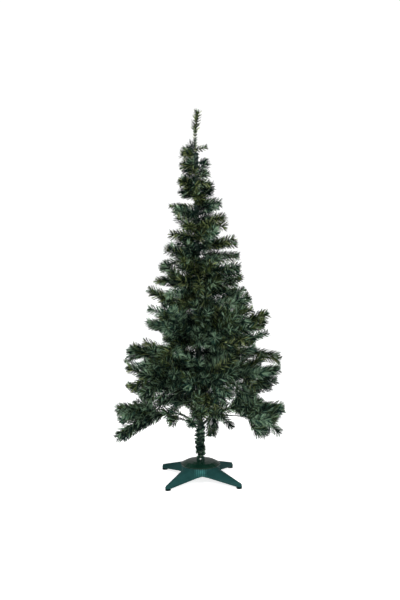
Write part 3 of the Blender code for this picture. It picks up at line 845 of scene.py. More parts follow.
def noise(tree, scale, detail, roughness=0.5):
    """Cloudy noise in the piece's own space."""
    place = add_node(tree, "ShaderNodeTexCoord", {}).outputs["Object"]
    inputs = {"Vector": place, "Scale": scale, "Detail": detail, "Roughness": roughness}
    return add_node(tree, "ShaderNodeTexNoise", inputs).outputs["Fac"]


def tinted(tree, colour, value, saturation=1.0):
    """A colour with its brightness and its saturation changed."""
    inputs = {"Color": colour, "Value": value, "Saturation": saturation}
    return add_node(tree, "ShaderNodeHueSaturation", inputs).outputs["Color"]


def swing_finish(group, given, put, clouds, spread, gloss_share):
    """Lets a group's colour swing with the clouds by this spread, and its roughness by a share of that."""
    amount = reckon(group, "MULTIPLY", span(group, clouds, *NOISE_RANGE, -1.0), spread)
    colour = tinted(group, given.outputs["Colour"], reckon(group, "ADD", amount, 1.0))
    gloss = reckon(group, "MULTIPLY_ADD", amount, gloss_share, given.outputs["Roughness"])
    group.links.new(colour, put.inputs["Colour"])
    group.links.new(gloss, put.inputs["Roughness"])


def film_group():
    """Cut film: its colour wanders from clump to clump, and some of it has more sheen than the rest."""
    group, given, put = node_group(
        "cut_film",
        [
            ("Colour", "NodeSocketColor", (0.02, 0.06, 0.03, 1.0)),
            ("Clump Size", "NodeSocketFloat", 40.0),
            ("Spread", "NodeSocketFloat", 0.35),
            ("Roughness", "NodeSocketFloat", 0.45),
        ],
        [("Colour", "NodeSocketColor"), ("Roughness", "NodeSocketFloat")],
    )
    clumps = noise(group, given.outputs["Clump Size"], detail=4.0, roughness=0.7)
    swing_finish(group, given, put, clumps, given.outputs["Spread"], gloss_share=0.25)
    return group


def grain_group():
    """A moulded or painted surface: fine pebbled grain, cloudy colour and uneven gloss."""
    group, given, put = node_group(
        "surface_grain",
        [
            ("Colour", "NodeSocketColor", (0.02, 0.06, 0.05, 1.0)),
            ("Grain Size", "NodeSocketFloat", 1400.0),
            ("Grain Depth", "NodeSocketFloat", 0.15),
            ("Cloudiness", "NodeSocketFloat", 0.18),
            ("Roughness", "NodeSocketFloat", 0.35),
        ],
        [
            ("Colour", "NodeSocketColor"),
            ("Roughness", "NodeSocketFloat"),
            ("Normal", "NodeSocketVector"),
        ],
    )
    grain = noise(group, given.outputs["Grain Size"], detail=2.0)
    relief = {"Height": grain, "Strength": given.outputs["Grain Depth"], "Distance": 0.0004}
    bump = add_node(group, "ShaderNodeBump", relief)
    group.links.new(bump.outputs["Normal"], put.inputs["Normal"])
    clouds = noise(group, scale=26.0, detail=5.0)
    swing_finish(group, given, put, clouds, given.outputs["Cloudiness"], gloss_share=0.4)
    return group


def rib_highlight_group():
    """How much paler than the plastic round them the ribs on the hub's front are painted: a painted highlight
    that grows towards their top.
    """
    group, given, put = node_group(
        "hub_ribs",
        [("Colour", "NodeSocketColor", (0.02, 0.06, 0.05, 1.0)), ("Rubbed", "NodeSocketFloat", 1.0)],
        [("Colour", "NodeSocketColor")],
    )
    place = add_node(group, "ShaderNodeTexCoord", {}).outputs["Object"]
    axes = add_node(group, "ShaderNodeSeparateXYZ", {0: place}).outputs
    amount = given.outputs["Rubbed"]
    for along, none, full in (
        (reckon(group, "ABSOLUTE", axes["X"]), RIBS_ACROSS, RIBS_FULL_ACROSS),
        (axes["Y"], RIBS_FRONT + RIBS_FADE, RIBS_FRONT),
        (axes["Z"], RIBS_FOOT, RIBS_FOOT + RIBS_RISE),
    ):
        amount = reckon(group, "MULTIPLY", amount, span(group, along, none, full))
    wave = reckon(group, "COSINE", reckon(group, "MULTIPLY", axes["X"], 2 * math.pi / RIBS_PITCH))
    stripe = span(group, wave, -1.0, 1.0, RIBS_BETWEEN)
    lift = reckon(group, "MULTIPLY_ADD", stripe, amount, 1.0)
    colour = tinted(group, given.outputs["Colour"], lift, RIBS_SATURATION)
    group.links.new(colour, put.inputs["Colour"])
    return group


def shared(name, make):
    """The shader group of this name, made the first time that it is asked for."""
    return bpy.data.node_groups.get(name) or make()


def group_finish(name, group, values, specular, metallic=0.0):
    """A finish that takes its colour, its roughness and any relief from a shader group."""
    made = bpy.data.materials.new(name)
    made.use_nodes = True
    tree = made.node_tree
    shader = tree.nodes["Principled BSDF"]
    shader.inputs["Metallic"].default_value = metallic
    shader.inputs["Specular IOR Level"].default_value = specular
    surface = add_node(tree, "ShaderNodeGroup", values, node_tree=group)
    for output, label in (("Colour", "Base Color"), ("Roughness", "Roughness"), ("Normal", "Normal")):
        if output in surface.outputs:
            tree.links.new(surface.outputs[output], shader.inputs[label])
    return made


def film_finish(name, colour, clump=40.0, spread=0.35, roughness=0.3):
    """Needles, tinsel and wire: cut film of one base colour."""
    values = {"Colour": (*colour, 1.0), "Clump Size": clump, "Spread": spread, "Roughness": roughness}
    return group_finish(name, shared("cut_film", film_group), values, specular=0.1)


def grain_finish(name, colour, grain, depth, cloudiness, roughness, metallic=0.0, specular=0.5):
    """Plastic, paint and plated steel."""
    values = {
        "Colour": (*colour, 1.0),
        "Grain Size": grain,
        "Grain Depth": depth,
        "Cloudiness": cloudiness,
        "Roughness": roughness,
    }
    return group_finish(name, shared("surface_grain", grain_group), values, specular, metallic)


def paint_rib_highlight(finish):
    """Sets the ribs' painted highlight between a moulded finish's grain and its base colour."""
    tree = finish.node_tree
    shader = tree.nodes["Principled BSDF"]
    grained = shader.inputs["Base Color"].links[0].from_socket
    values = {"Colour": grained, "Rubbed": RIBS_HIGHLIGHT}
    ribs = add_node(tree, "ShaderNodeGroup", values, node_tree=shared("hub_ribs", rib_highlight_group))
    tree.links.new(ribs.outputs["Colour"], shader.inputs["Base Color"])


# The source's rule of growth


def bough_tilt(tier, turn_deg):
    """The tilt at a bough's tip: those to the left and right hang lower than those to front and back."""
    return tier.tilt_deg - tier.side_droop_deg * abs(math.cos(math.radians(turn_deg)))


def bough_points(tier, turn_deg):
    """A bough's course: level out of the pole, up at the tier's rise, then over to the tilt at its tip."""
    out = pole_radius(tier.height) + GAP
    points = [pole_axis(tier.height) + bearing(turn_deg) * out]
    points.append(points[0] + bearing(turn_deg) * BOUGH_SEAT)
    step = tier.run / BOUGH_STEPS
    for index in range(BOUGH_STEPS):
        tilt = tier.rise_deg + (bough_tilt(tier, turn_deg) - tier.rise_deg) * index / (BOUGH_STEPS - 1)
        points.append(points[-1] + bearing(turn_deg, tilt) * step)
    return points


def masses_on_boughs():
    """The mass of foliage that goes on from each bough's tip."""
    masses = []
    for tier in TIERS:
        for index, turn in enumerate(tier.bearings, 1):
            heading = bearing(turn, bough_tilt(tier, turn))
            foot = bough_points(tier, turn)[-1] + heading * GAP
            masses.append(Mass(f"foliage_{tier.name}_{index}", foot, heading, tier.stem, tier.fan))
    return masses


def masses_on_pole():
    """The clusters that leave the pole itself, turned by the golden angle from one to the next."""
    masses = []
    for index in range(CLUSTERS):
        share = index / (CLUSTERS - 1)
        height = CLUSTER_FOOT + (CLUSTER_TOP - CLUSTER_FOOT) * share ** CLUSTER_CROWDING
        tilt = CLUSTER_TILT_FOOT + (CLUSTER_TILT_TOP - CLUSTER_TILT_FOOT) * share
        turn = CLUSTER_BEARING + index * GOLDEN_ANGLE
        wall = max(pole_radius(height - STEM_RADIUS), pole_radius(height + STEM_RADIUS))
        clear = wall + GAP + STEM_RADIUS * math.sin(math.radians(tilt))
        foot = pole_axis(height) + bearing(turn) * clear
        fan = CLUSTER_FAN._replace(sprays=FULL_CLUSTER if index < FULL_CLUSTERS else CLUSTER_FAN.sprays)
        masses.append(Mass(f"foliage_crown_{index + 1:02d}", foot, bearing(turn, tilt), CLUSTER_STEM, fan))
    return masses


def outline_radius(height):
    """The crown's radius at this height, read between the outline's points."""
    if height <= OUTLINE[0][0]:
        return OUTLINE[0][1]
    for (low, wide), (high, narrow) in zip(OUTLINE, OUTLINE[1:]):
        if height <= high:
            return wide + (narrow - wide) * (height - low) / (high - low)
    return OUTLINE[-1][1]


def length_to_outline(start, heading, longest):
    """How far a spray can run before it leaves the crown's outline, up to its longest."""
    length = 0.0
    while length < longest:
        tip = start + heading * (length + STRIDE)
        if (tip - pole_axis(tip.z)).length > outline_radius(tip.z):
            break
        length += STRIDE
    return length


def spray_course(mass, index, chance):
    """Where a spray leaves its stem and which way, with the jitter of this random source."""
    share = (index + 1) / mass.fan.sprays
    off = math.radians(mass.fan.root_deg + (mass.fan.tip_deg - mass.fan.root_deg) * share)
    off *= chance.uniform(*OFF_JITTER)
    turn = math.radians(index * GOLDEN_ANGLE + chance.uniform(-TURN_JITTER_DEG, TURN_JITTER_DEG))
    if index == mass.fan.sprays - 1:
        off = math.radians(chance.uniform(0.0, END_SPRAY_OFF_DEG))
    across = UP.cross(mass.heading).normalized()
    over = mass.heading.cross(across)
    swing = across * math.cos(turn) + over * math.sin(turn) * mass.fan.flatness
    heading = mass.heading * math.cos(off) + swing * math.sin(off) - UP * mass.fan.hang * share
    heading.normalize()
    return mass.foot + mass.heading * mass.stem * (SPRAYS_FROM + SPRAYS_SPAN * share), heading


def frame_along(heading, start, roll=0.0):
    """A placement whose X runs along the heading, with Y across it and Z over it, rolled about X."""
    across = UP.cross(heading).normalized()
    over = heading.cross(across)
    axes = Matrix((heading, across, over)).transposed().to_4x4()
    return Matrix.Translation(start) @ axes @ Matrix.Rotation(roll, 4, "X")


def stem_surface(mass):
    """The surface of a mass's own stem, as a tree of faces."""
    shape = bmesh.new()
    stand_up = Matrix.Rotation(math.pi / 2, 4, "Y") @ Matrix.Rotation(math.pi / 2, 4, "Z")
    bmesh.ops.create_cone(
        shape,
        cap_ends=True,
        segments=STEM_SIDES,
        radius1=STEM_RADIUS,
        radius2=STEM_TIP_RADIUS,
        depth=mass.stem,
        matrix=frame_along(mass.heading, mass.foot + mass.heading * mass.stem / 2) @ stand_up,
    )
    tree = BVHTree.FromBMesh(shape)
    shape.free()
    return tree


def node_surface(node):
    """The surface of one of the model's nodes, as a tree of faces."""
    shape = bmesh.new()
    shape.from_mesh(node.data)
    tree = BVHTree.FromBMesh(shape)
    shape.free()
    return tree


def slab(place, length, width, margin, begin=0.0):
    """The thin space that a spray fills from its root, or from further out, grown by a margin."""
    shape = bmesh.new()
    edge = [(begin, 2 * BLADE_ROOT), *BLADE_OUTLINE]
    edge += [(along, -half) for along, half in reversed(edge)]
    ring = [
        shape.verts.new((along * (length + margin), half * (width + 2 * margin), 0.0))
        for along, half in edge
    ]
    face = shape.faces.new(ring)
    bmesh.ops.solidify(shape, geom=[face], thickness=BLADE_THICKNESS + 2 * margin)
    middle = Matrix.Translation((0.0, 0.0, BLADE_THICKNESS / 2 + margin))
    shape.transform(place @ middle)
    tree = BVHTree.FromBMesh(shape)
    shape.free()
    return tree


def sprays_of(mass, taken):
    """The sprays that the mass's rule sets on its stem, each clear of what is taken, and their spaces."""
    chance = random.Random(f"{mass.name} {SEED}")
    sprays, own, own_outer = [], [], []
    for index in range(mass.fan.sprays):
        for _ in range(TRIES):
            start, heading = spray_course(mass, index, chance)
            roll = chance.uniform(0, math.pi)
            length = length_to_outline(start, heading, mass.fan.longest) * chance.uniform(*LENGTH_JITTER)
            place = frame_along(heading, start, roll)
            if length < mass.fan.shortest:
                continue
            space = slab(place, length, mass.fan.width, KEEP_CLEAR)
            outer = slab(place, length, mass.fan.width, 0.0, OWN_CLEAR)
            if any(space.overlap(other) for other in taken):
                continue
            if any(outer.overlap(other) for other in own_outer):
                continue
            own.append(slab(place, length, mass.fan.width, 0.0))
            own_outer.append(outer)
            sprays.append(Spray(start, heading, roll, length, mass.fan.width))
            break
    return sprays, own


# Brushes


def bent_course(start, heading, length, lift, points=SPRAY_POINTS):
    """A wire's course from its root, bending steadily towards the lift's direction by the lift's length."""
    shares = np.linspace(0.0, 1.0, points)[:, None]
    return np.array(start) + np.array(heading) * length * shares + np.array(lift) * shares ** 2


def colour_of_brush(height, chance):
    """Deals out a brush's colour: dark and bluish in the lower tiers, more olive and straw high up, and pale
    brushes, painted highlight, most often at middle heights.
    """
    high = min(1.0, max(0.0, (height - TURN_OLIVE_FROM) / TURN_OLIVE_OVER))
    weights = {
        "deep": 0.36 - 0.26 * high,
        "warm": 0.44 * high,
        "blue": 0.30 * (1 - high),
        "olive": 0.22 * (1 - high),
        "golden": 0.50 * high ** 2,
        "pale": 1.00 * high * (1 - high),
    }
    return chance.choices(list(weights), list(weights.values()))[0]


def side_share(height, way):
    """How much of the crown's outline a brush that goes this way reaches at this height."""
    rows = np.array(SIDES)
    side = np.interp(height, rows[:, 0], rows[:, 1 if way.x < 0 else 2])
    return 1 + (side - 1) * abs(way.x)


def seen(points):
    """Where points show from the front in the plane through the origin: how far right, and how high."""
    share = EYE_DISTANCE / (points[:, 1] + EYE_DISTANCE)
    right = EYE_RIGHT + (points[:, 0] - EYE_RIGHT) * share
    height = EYE_HEIGHT + (points[:, 2] - EYE_HEIGHT) * share
    return right, height


def shows_in_sky(course):
    """Which points of a course show in a gap of sky, or too near its edge. The root never counts."""
    right, height = seen(course)
    hit = np.zeros(len(course), bool)
    for middle, level, wide, tall in SKY:
        across = (right - middle) / (wide + SKY_MARGIN)
        up = (height - level) / (tall + SKY_MARGIN)
        hit |= across ** 2 + up ** 2 < 1
    hit[0] = False
    return hit


def out_of_sky(brush):
    """The brush bent up or down past the gaps of sky, or else cut short of them. None if little is left."""
    if brush.needle <= SHORT_TUFT:
        return brush
    shares = np.linspace(0.0, 1.0, len(brush.course))[:, None]
    length = np.linalg.norm(brush.course[-1] - brush.course[0])
    for bend in BENDS:
        course = brush.course + np.array(UP) * bend * length * shares ** 2
        if not shows_in_sky(course).any():
            return brush._replace(course=course)
    course = brush.course[:np.argmax(shows_in_sky(brush.course))]
    if len(course) < 2 or np.linalg.norm(course[-1] - course[0]) < SHORTEST_BRUSH:
        return None
    return brush._replace(course=course)


def edge_brushes(brushes, sizes):
    """The brushes that stand out of the crown's sides, each grown from the pole or wire nearest its root."""
    chance = random.Random("edge brushes")
    pole = [pole_axis(height) for height in np.arange(POLE_TWIGS_FOOT, CROWN_TWIGS_TOP, EDGE_STEP)]
    wires = np.concatenate([brush.course for brush in brushes] + [np.array(pole)])
    wires = wires[np.abs(wires[:, 1]) < EDGE_DEPTH]
    right, height = seen(wires)
    made = []
    for root_right, root_height, tip_right, tip_height, fullness in EDGE_BRUSHES:
        root = wires[np.argmin((right - root_right) ** 2 + (height - root_height) ** 2)]
        share = (root[1] + EYE_DISTANCE) / EYE_DISTANCE
        eye = np.array((EYE_RIGHT, 0.0, EYE_HEIGHT))
        tip = eye + (np.array((tip_right, 0.0, tip_height)) - eye) * share
        tip[1] = root[1]
        way = tip - root
        length = np.linalg.norm(way)
        lift = np.array(UP) * length * chance.uniform(*EDGE_BEND)
        way = way * (1 - EDGE_SPACE * fullness / length) - lift
        length = np.linalg.norm(way)
        course = bent_course(root, way / length, length, lift)
        colour = colour_of_brush(root[2], chance)
        # Thin brushes high up are golden; low ones take a dark mix, the core mix's painted shade among them
        if fullness < THIN and root[2] > UPRIGHT_FROM:
            colour = "golden"
        elif root[2] < DARK_BELOW:
            colour = chance.choice(("deep", "core", "olive"))
        thickness = EDGE_THICKNESS * min(1.0, fullness + EDGE_FILL)
        made.append(Brush(course, sizes.length * fullness, thickness, colour))
    return made


def brushes_of_spray(spray, sizes, side_twigs, chance):
    """The brush along a spray's blade, and the shorter twigs that leave it towards the blade's edges."""
    turn = frame_along(spray.heading, spray.start, spray.roll).to_3x3()
    tip = spray.start + spray.heading * spray.length
    change = (side_share(tip.z, spray.heading) - 1) * (tip - pole_axis(tip.z)).length
    least, most = (share * spray.length for share in SPRAY_SHARES)
    reach = min(most, max(least, spray.length - TIP_SPACE + change))
    lift = UP * reach * chance.uniform(*SPRAY_BEND)
    course = bent_course(spray.start, spray.heading, reach, lift)
    colour = colour_of_brush(spray.start.z, chance)
    brushes = [Brush(course, sizes.length, SPRAY_THICKNESS, colour)]
    for index in range(side_twigs):
        leave = SIDE_FROM + SIDE_STEP * index + chance.uniform(-SIDE_STRAY, SIDE_STRAY)
        off = math.radians(chance.uniform(*SIDE_OFF_DEG)) * (-1) ** index
        over = math.radians(chance.uniform(-SIDE_OVER_DEG, SIDE_OVER_DEG))
        way = turn @ Vector((math.cos(off) * math.cos(over), math.sin(off) * math.cos(over), math.sin(over)))
        length = reach * chance.uniform(*SIDE_LENGTH) * (1 - SIDE_SHORTER * index)
        root = along_course(course, np.array([leave]))[0][0]
        twig = bent_course(root, way, length, UP * length * chance.uniform(0.0, SIDE_BEND), TWIG_POINTS)
        brushes.append(Brush(twig, sizes.length, 1.0, colour_of_brush(root[2], chance), SIDE_BARE))
    return brushes


def brushes_on_bough(tier, turn_deg, sizes, chance):
    """The short tufts all along a bough, and the twigs that leave it between the pole and its mass."""
    points = bough_points(tier, turn_deg)
    colour = colour_of_brush(points[0].z, chance)
    if tier.name == "low":
        # The low boughs' stubs take the core mix's painted shade
        return [Brush(np.array(points), STUBS, STUB_THICKNESS, "core")]
    brushes = [Brush(np.array(points), SHORT_TUFT, STEM_THICKNESS, colour)]
    for index in range(BOUGH_TWIGS):
        share = (index + BOUGH_TWIG_FROM) / BOUGH_TWIGS * (len(points) - 1)
        step = min(int(share), len(points) - 2)
        root = points[step].lerp(points[step + 1], min(share - step, 1.0))
        along = (points[step + 1] - points[step]).normalized()
        across = UP.cross(along).normalized()
        over = along.cross(across)
        turn = math.radians(index * GOLDEN_ANGLE + chance.uniform(0, BOUGH_TWIG_TURN_DEG))
        off = math.radians(chance.uniform(*BOUGH_TWIG_OFF_DEG))
        way = along * math.cos(off) + (across * math.cos(turn) + over * math.sin(turn)) * math.sin(off)
        length = chance.uniform(*BOUGH_TWIG_LENGTH)
        course = bent_course(root, way, length, UP * BOUGH_TWIG_BEND, BOUGH_TWIG_POINTS)
        colour = colour_of_brush(root.z, chance)
        brushes.append(Brush(course, sizes.length, STEM_THICKNESS, colour, BOUGH_TWIG_BARE))
    return brushes


def brushes_on_pole(sizes):
    """Short twigs that leave the pole itself, between the tiers of boughs and up through the crown."""
    chance = random.Random("pole twigs")
    brushes = []
    for index in range(POLE_TWIGS):
        height = POLE_TWIGS_FOOT + (POLE_TWIGS_TOP - POLE_TWIGS_FOOT) * index / (POLE_TWIGS - 1)
        way = way_off_pole(index, POLE_TWIG_TILT_DEG, chance)
        brushes.append(pole_brush(height, way, chance.uniform(*POLE_TWIG_LENGTH), sizes, chance))
    for index in range(CROWN_TWIGS):
        height = POLE_TWIGS_TOP + (CROWN_TWIGS_TOP - POLE_TWIGS_TOP) * index / (CROWN_TWIGS - 1)
        way = way_off_pole(index, CROWN_TWIG_TILT_DEG, chance)
        room = outline_radius(height) * side_share(height, way) - CROWN_TWIG_SPACE * sizes.length
        length = min(CROWN_TWIG_LONGEST, room) * chance.uniform(*CROWN_TWIG_SHARE)
        brushes.append(pole_brush(height, way, max(CROWN_TWIG_SHORTEST, length), sizes, chance))
    return brushes


def way_off_pole(index, tilts, chance):
    """The way of one of the pole's own twigs, turned by the golden angle from one to the next."""
    stray = chance.uniform(-POLE_TWIG_TURN_DEG, POLE_TWIG_TURN_DEG)
    return bearing(index * GOLDEN_ANGLE + stray, chance.uniform(*tilts))


def pole_brush(height, way, length, sizes, chance):
    """A brush that leaves the pole's wall at this height."""
    flat = Vector((way.x, way.y, 0.0)).normalized()
    root = pole_axis(height) + flat * pole_radius(height)
    course = bent_course(root, way, length, UP * length * POLE_TWIG_BEND, TWIG_POINTS)
    # A share of them take the core mix: painted shade deep in the crown
    colour = "core" if chance.random() < CORE_SHARE else colour_of_brush(height, chance)
    return Brush(course, sizes.length, 1.0, colour)


def leader_brushes(sizes):
    """The upright brush on the pole's top: short needles at its waist, longer ones at its flat head."""
    length = LEADER_TOP - LEADER_SPACE - LEADER_FOOT
    heading = (pole_axis(1.0).normalized() + Vector((LEADER_LEAN, 0.0, 0.0))).normalized()
    course = bent_course(pole_axis(LEADER_FOOT), heading, length, Vector((LEADER_BEND, 0.0, 0.0)))
    return [
        Brush(part, sizes.length * share, thickness, "golden")
        for part, (share, thickness) in ((course, LEADER_WAIST), (course[LEADER_HEAD_FROM:], LEADER_HEAD))
    ]


def along_course(course, shares):
    """Points and unit tangents at these shares of a course."""
    steps = shares * (len(course) - 1)
    first = np.minimum(steps.astype(int), len(course) - 2)
    part = (steps - first)[:, None]
    legs = np.diff(course, axis=0)
    legs /= np.linalg.norm(legs, axis=1, keepdims=True)
    after = np.minimum(first + 1, len(legs) - 1)
    tangents = legs[first] * (1 - part) + legs[after] * part
    tangents /= np.linalg.norm(tangents, axis=1, keepdims=True)
    return course[first] * (1 - part) + course[first + 1] * part, tangents


def unit(vectors):
    """These vectors at unit length."""
    return vectors / np.maximum(np.linalg.norm(vectors, axis=1, keepdims=True), 1e-9)


def needles_of(brush, sizes, source):
    """The needles of one brush, as roots, middles, tips and sideways unit vectors."""
    high = min(1.0, max(0.0, (brush.course[0][2] - SWEPT_TO) / (UPRIGHT_FROM - SWEPT_TO)))
    length = np.linalg.norm(np.diff(brush.course, axis=0), axis=1).sum()
    density = sizes.per_metre * brush.thickness * (LOW_DENSITY + (1 - LOW_DENSITY) * high)
    clumps = int(length * density / sizes.clump)
    ends = int(END_NEEDLES * brush.thickness / sizes.clump)
    shares = np.concatenate([
        brush.bare + (1 - brush.bare) * (np.arange(clumps) + source.random(clumps)) / clumps,
        1.0 - source.random(ends) * END_SPAN / length,
    ])
    turns = 2 * math.pi * (source.random() + shares * length / sizes.pitch)
    turns += math.pi * (np.arange(clumps + ends) % 2) + source.normal(0, sizes.disorder, clumps + ends)
    turns[clumps:] = source.random(ends) * 2 * math.pi
    closing = np.clip(1 - (1 - shares) * length / CLOSING, 0, 1) ** CLOSING_CURVE
    rake = sizes.low_rake + (sizes.rake - sizes.low_rake) * high
    off = rake + (sizes.tip_rake - rake) * closing
    off += source.normal(0, sizes.disorder / 2, clumps + ends)
    off[clumps:] *= np.sqrt(source.random(ends))
    reach = np.full(clumps + ends, brush.needle * (1 + (1 - high) * LOW_LONGER))
    reach[clumps:] *= END_LENGTH
    shares, turns, off, reach = (np.repeat(values, sizes.clump) for values in (shares, turns, off, reach))
    count = len(shares)
    shares = np.clip(shares + source.normal(0, ROOT_STRAY, count) / length, 0.0, 1.0)
    turns += source.normal(0, sizes.clump_spread, count)
    off += source.normal(0, sizes.clump_spread, count)
    roots, tangents = along_course(brush.course, shares)
    aside = unit(np.cross(tangents, OFF_WIRE))
    over = np.cross(tangents, aside)
    radial = aside * np.cos(turns)[:, None] + over * np.sin(turns)[:, None]
    first = tangents * np.cos(off)[:, None] + radial * np.sin(off)[:, None]
    off = np.maximum(off - sizes.curl * source.uniform(*CURL_VARIES, count), LEAST_RAKE)
    second = tangents * np.cos(off)[:, None] + radial * np.sin(off)[:, None]
    reach = (reach * source.uniform(*LENGTH_VARIES, count))[:, None]
    middles = roots + first * reach * KNEE
    tips = middles + second * reach * (1 - KNEE)
    sideways = unit(np.cross(first, source.normal(size=(count, 3))))
    return roots, middles, tips, sideways


def strip_mesh(name, roots, middles, tips, sideways, width):
    """One mesh of bent, pointed strips: a quad from the root to the bend, and a triangle to the tip."""
    count = len(roots)
    corners = np.array((0, 1, 2, 3, 3, 2, 4))
    starts = np.array((0, 4))
    half = sideways * width / 2
    knee = half * NEEDLE_TAPER
    points = np.stack([roots - half, roots + half, middles + knee, middles - knee, tips], 1)
    each = np.arange(count)[:, None]
    return array_mesh(name, points, corners + points.shape[1] * each, starts + len(corners) * each)


def array_mesh(name, points, corners, starts):
    """A mesh of these points, of all its faces' corners in a row, and of where each face begins there."""
    mesh = bpy.data.meshes.new(name)
    mesh.vertices.add(points.size // 3)
    mesh.vertices.foreach_set("co", points.astype(np.float32).ravel())
    mesh.loops.add(corners.size)
    mesh.loops.foreach_set("vertex_index", corners.astype(np.int32).ravel())
    mesh.polygons.add(starts.size)
    mesh.polygons.foreach_set("loop_start", starts.astype(np.int32).ravel())
    mesh.update(calc_edges=True)
    return mesh


def wire_rings(course, radii, sides):
    """Rings of points round a course, one at each of its points."""
    tangents = unit(np.gradient(course, axis=0))
    aside = unit(np.cross(tangents, OFF_WIRE))
    over = np.cross(tangents, aside)
    turns = np.linspace(0, 2 * math.pi, sides, endpoint=False)
    ring = aside[:, None, :] * np.cos(turns)[:, None] + over[:, None, :] * np.sin(turns)[:, None]
    return course[:, None, :] + ring * np.asarray(radii)[:, None, None]


def wire_mesh(name, wires, sides=WIRE_SIDES):
    """One mesh of many closed, tapering wires. Each wire is a course and its radii."""
    points, quads, caps, base = [], [], [], 0
    for course, radii in wires:
        rings = len(course)
        points.append(wire_rings(course, radii, sides).reshape(-1, 3))
        start = base + sides * np.arange(rings - 1)[:, None] + np.arange(sides)
        after = base + sides * np.arange(rings - 1)[:, None] + (np.arange(sides) + 1) % sides
        quads.append(np.stack([start, after, after + sides, start + sides], 2).reshape(-1, 4))
        caps.append(base + np.arange(sides)[::-1])
        caps.append(base + sides * (rings - 1) + np.arange(sides))
        base += rings * sides
    quads = np.concatenate(quads)
    caps = np.array(caps)
    corners = np.concatenate([quads.ravel(), caps.ravel()])
    starts = np.concatenate([4 * np.arange(len(quads)), quads.size + sides * np.arange(len(caps))])
    mesh = array_mesh(name, np.concatenate(points), corners, starts)
    mesh.shade_smooth()
    return mesh


# Pieces


def tape_lap(turn, along, pitch, lap):
    """How far a tape stands out here: it climbs to its free edge and steps down at the lap."""
    phase = (along / pitch - turn / (2 * math.pi)) % 1.0
    edge = min(1.0, (1.0 - phase) / LAP_STEP)
    return lap * phase * edge


class TREE_OT_wrap_pole(bpy.types.Operator):
    """Makes the pole with the relief of its wound tape and the sleeves at its joints"""

    bl_idname = "tree.wrap_pole"
    bl_label = "Wrap Pole"

    def execute(self, context):
        wraps = context.scene.tree_wraps
        profile = [(POLE_BORE, POLE_FOOT), (POLE_RADII[0], POLE_FOOT)]
        for section in (1, 2):
            joint = POLE_JOINTS[section - 1]
            sleeve = POLE_RADII[section - 1] + SLEEVE_WALL
            profile += [
                (POLE_RADII[section - 1], joint - SLEEVE_CHAMFER),
                (sleeve, joint),
                (sleeve, joint + SLEEVE_LENGTH - SLEEVE_CHAMFER),
                (POLE_RADII[section], joint + SLEEVE_LENGTH),
            ]
        profile += [(POLE_RADII[2], POLE_TOP), (POLE_BORE, POLE_TOP)]
        shape = bmesh.new()
        corners = [shape.verts.new((radius, 0.0, height)) for radius, height in profile]
        edges = [
            shape.edges.new((first, second))
            for first, second in zip(corners, corners[1:] + corners[:1])
        ]
        tubes = [edge for edge in edges[:-1] if edge.calc_length() > 2 * SLEEVE_LENGTH]
        bmesh.ops.subdivide_edges(shape, edges=tubes, cuts=POLE_CUTS)
        bmesh.ops.spin(
            shape,
            geom=shape.verts[:] + shape.edges[:],
            cent=(0, 0, 0),
            axis=(0, 0, 1),
            angle=2 * math.pi,
            steps=POLE_SIDES,
            use_merge=True,
        )
        bmesh.ops.remove_doubles(shape, verts=shape.verts, dist=1e-6)
        bmesh.ops.recalc_face_normals(shape, faces=shape.faces)
        for corner in shape.verts:
            radius = math.hypot(corner.co.x, corner.co.y)
            if radius < POLE_BORE + 1e-4:
                continue
            turn = math.atan2(corner.co.y, corner.co.x)
            out = 1 + tape_lap(turn, corner.co.z, wraps.pole_pitch, wraps.pole_lap) / radius
            corner.co.x *= out
            corner.co.y *= out
        shape.transform(leaning())
        colour = context.scene.tree_colours.paint
        finish = grain_finish(
            "wrapped_pole_paint", colour, grain=900.0, depth=0.35, cloudiness=0.22, roughness=0.42
        )
        pole = finished("pole_wrapped", shape, finish, "pole", "trunk_pole")
        pole.data.shade_smooth()
        pole.data.set_sharp_from_angle(angle=math.radians(SHARP_DEG))
        return {"FINISHED"}


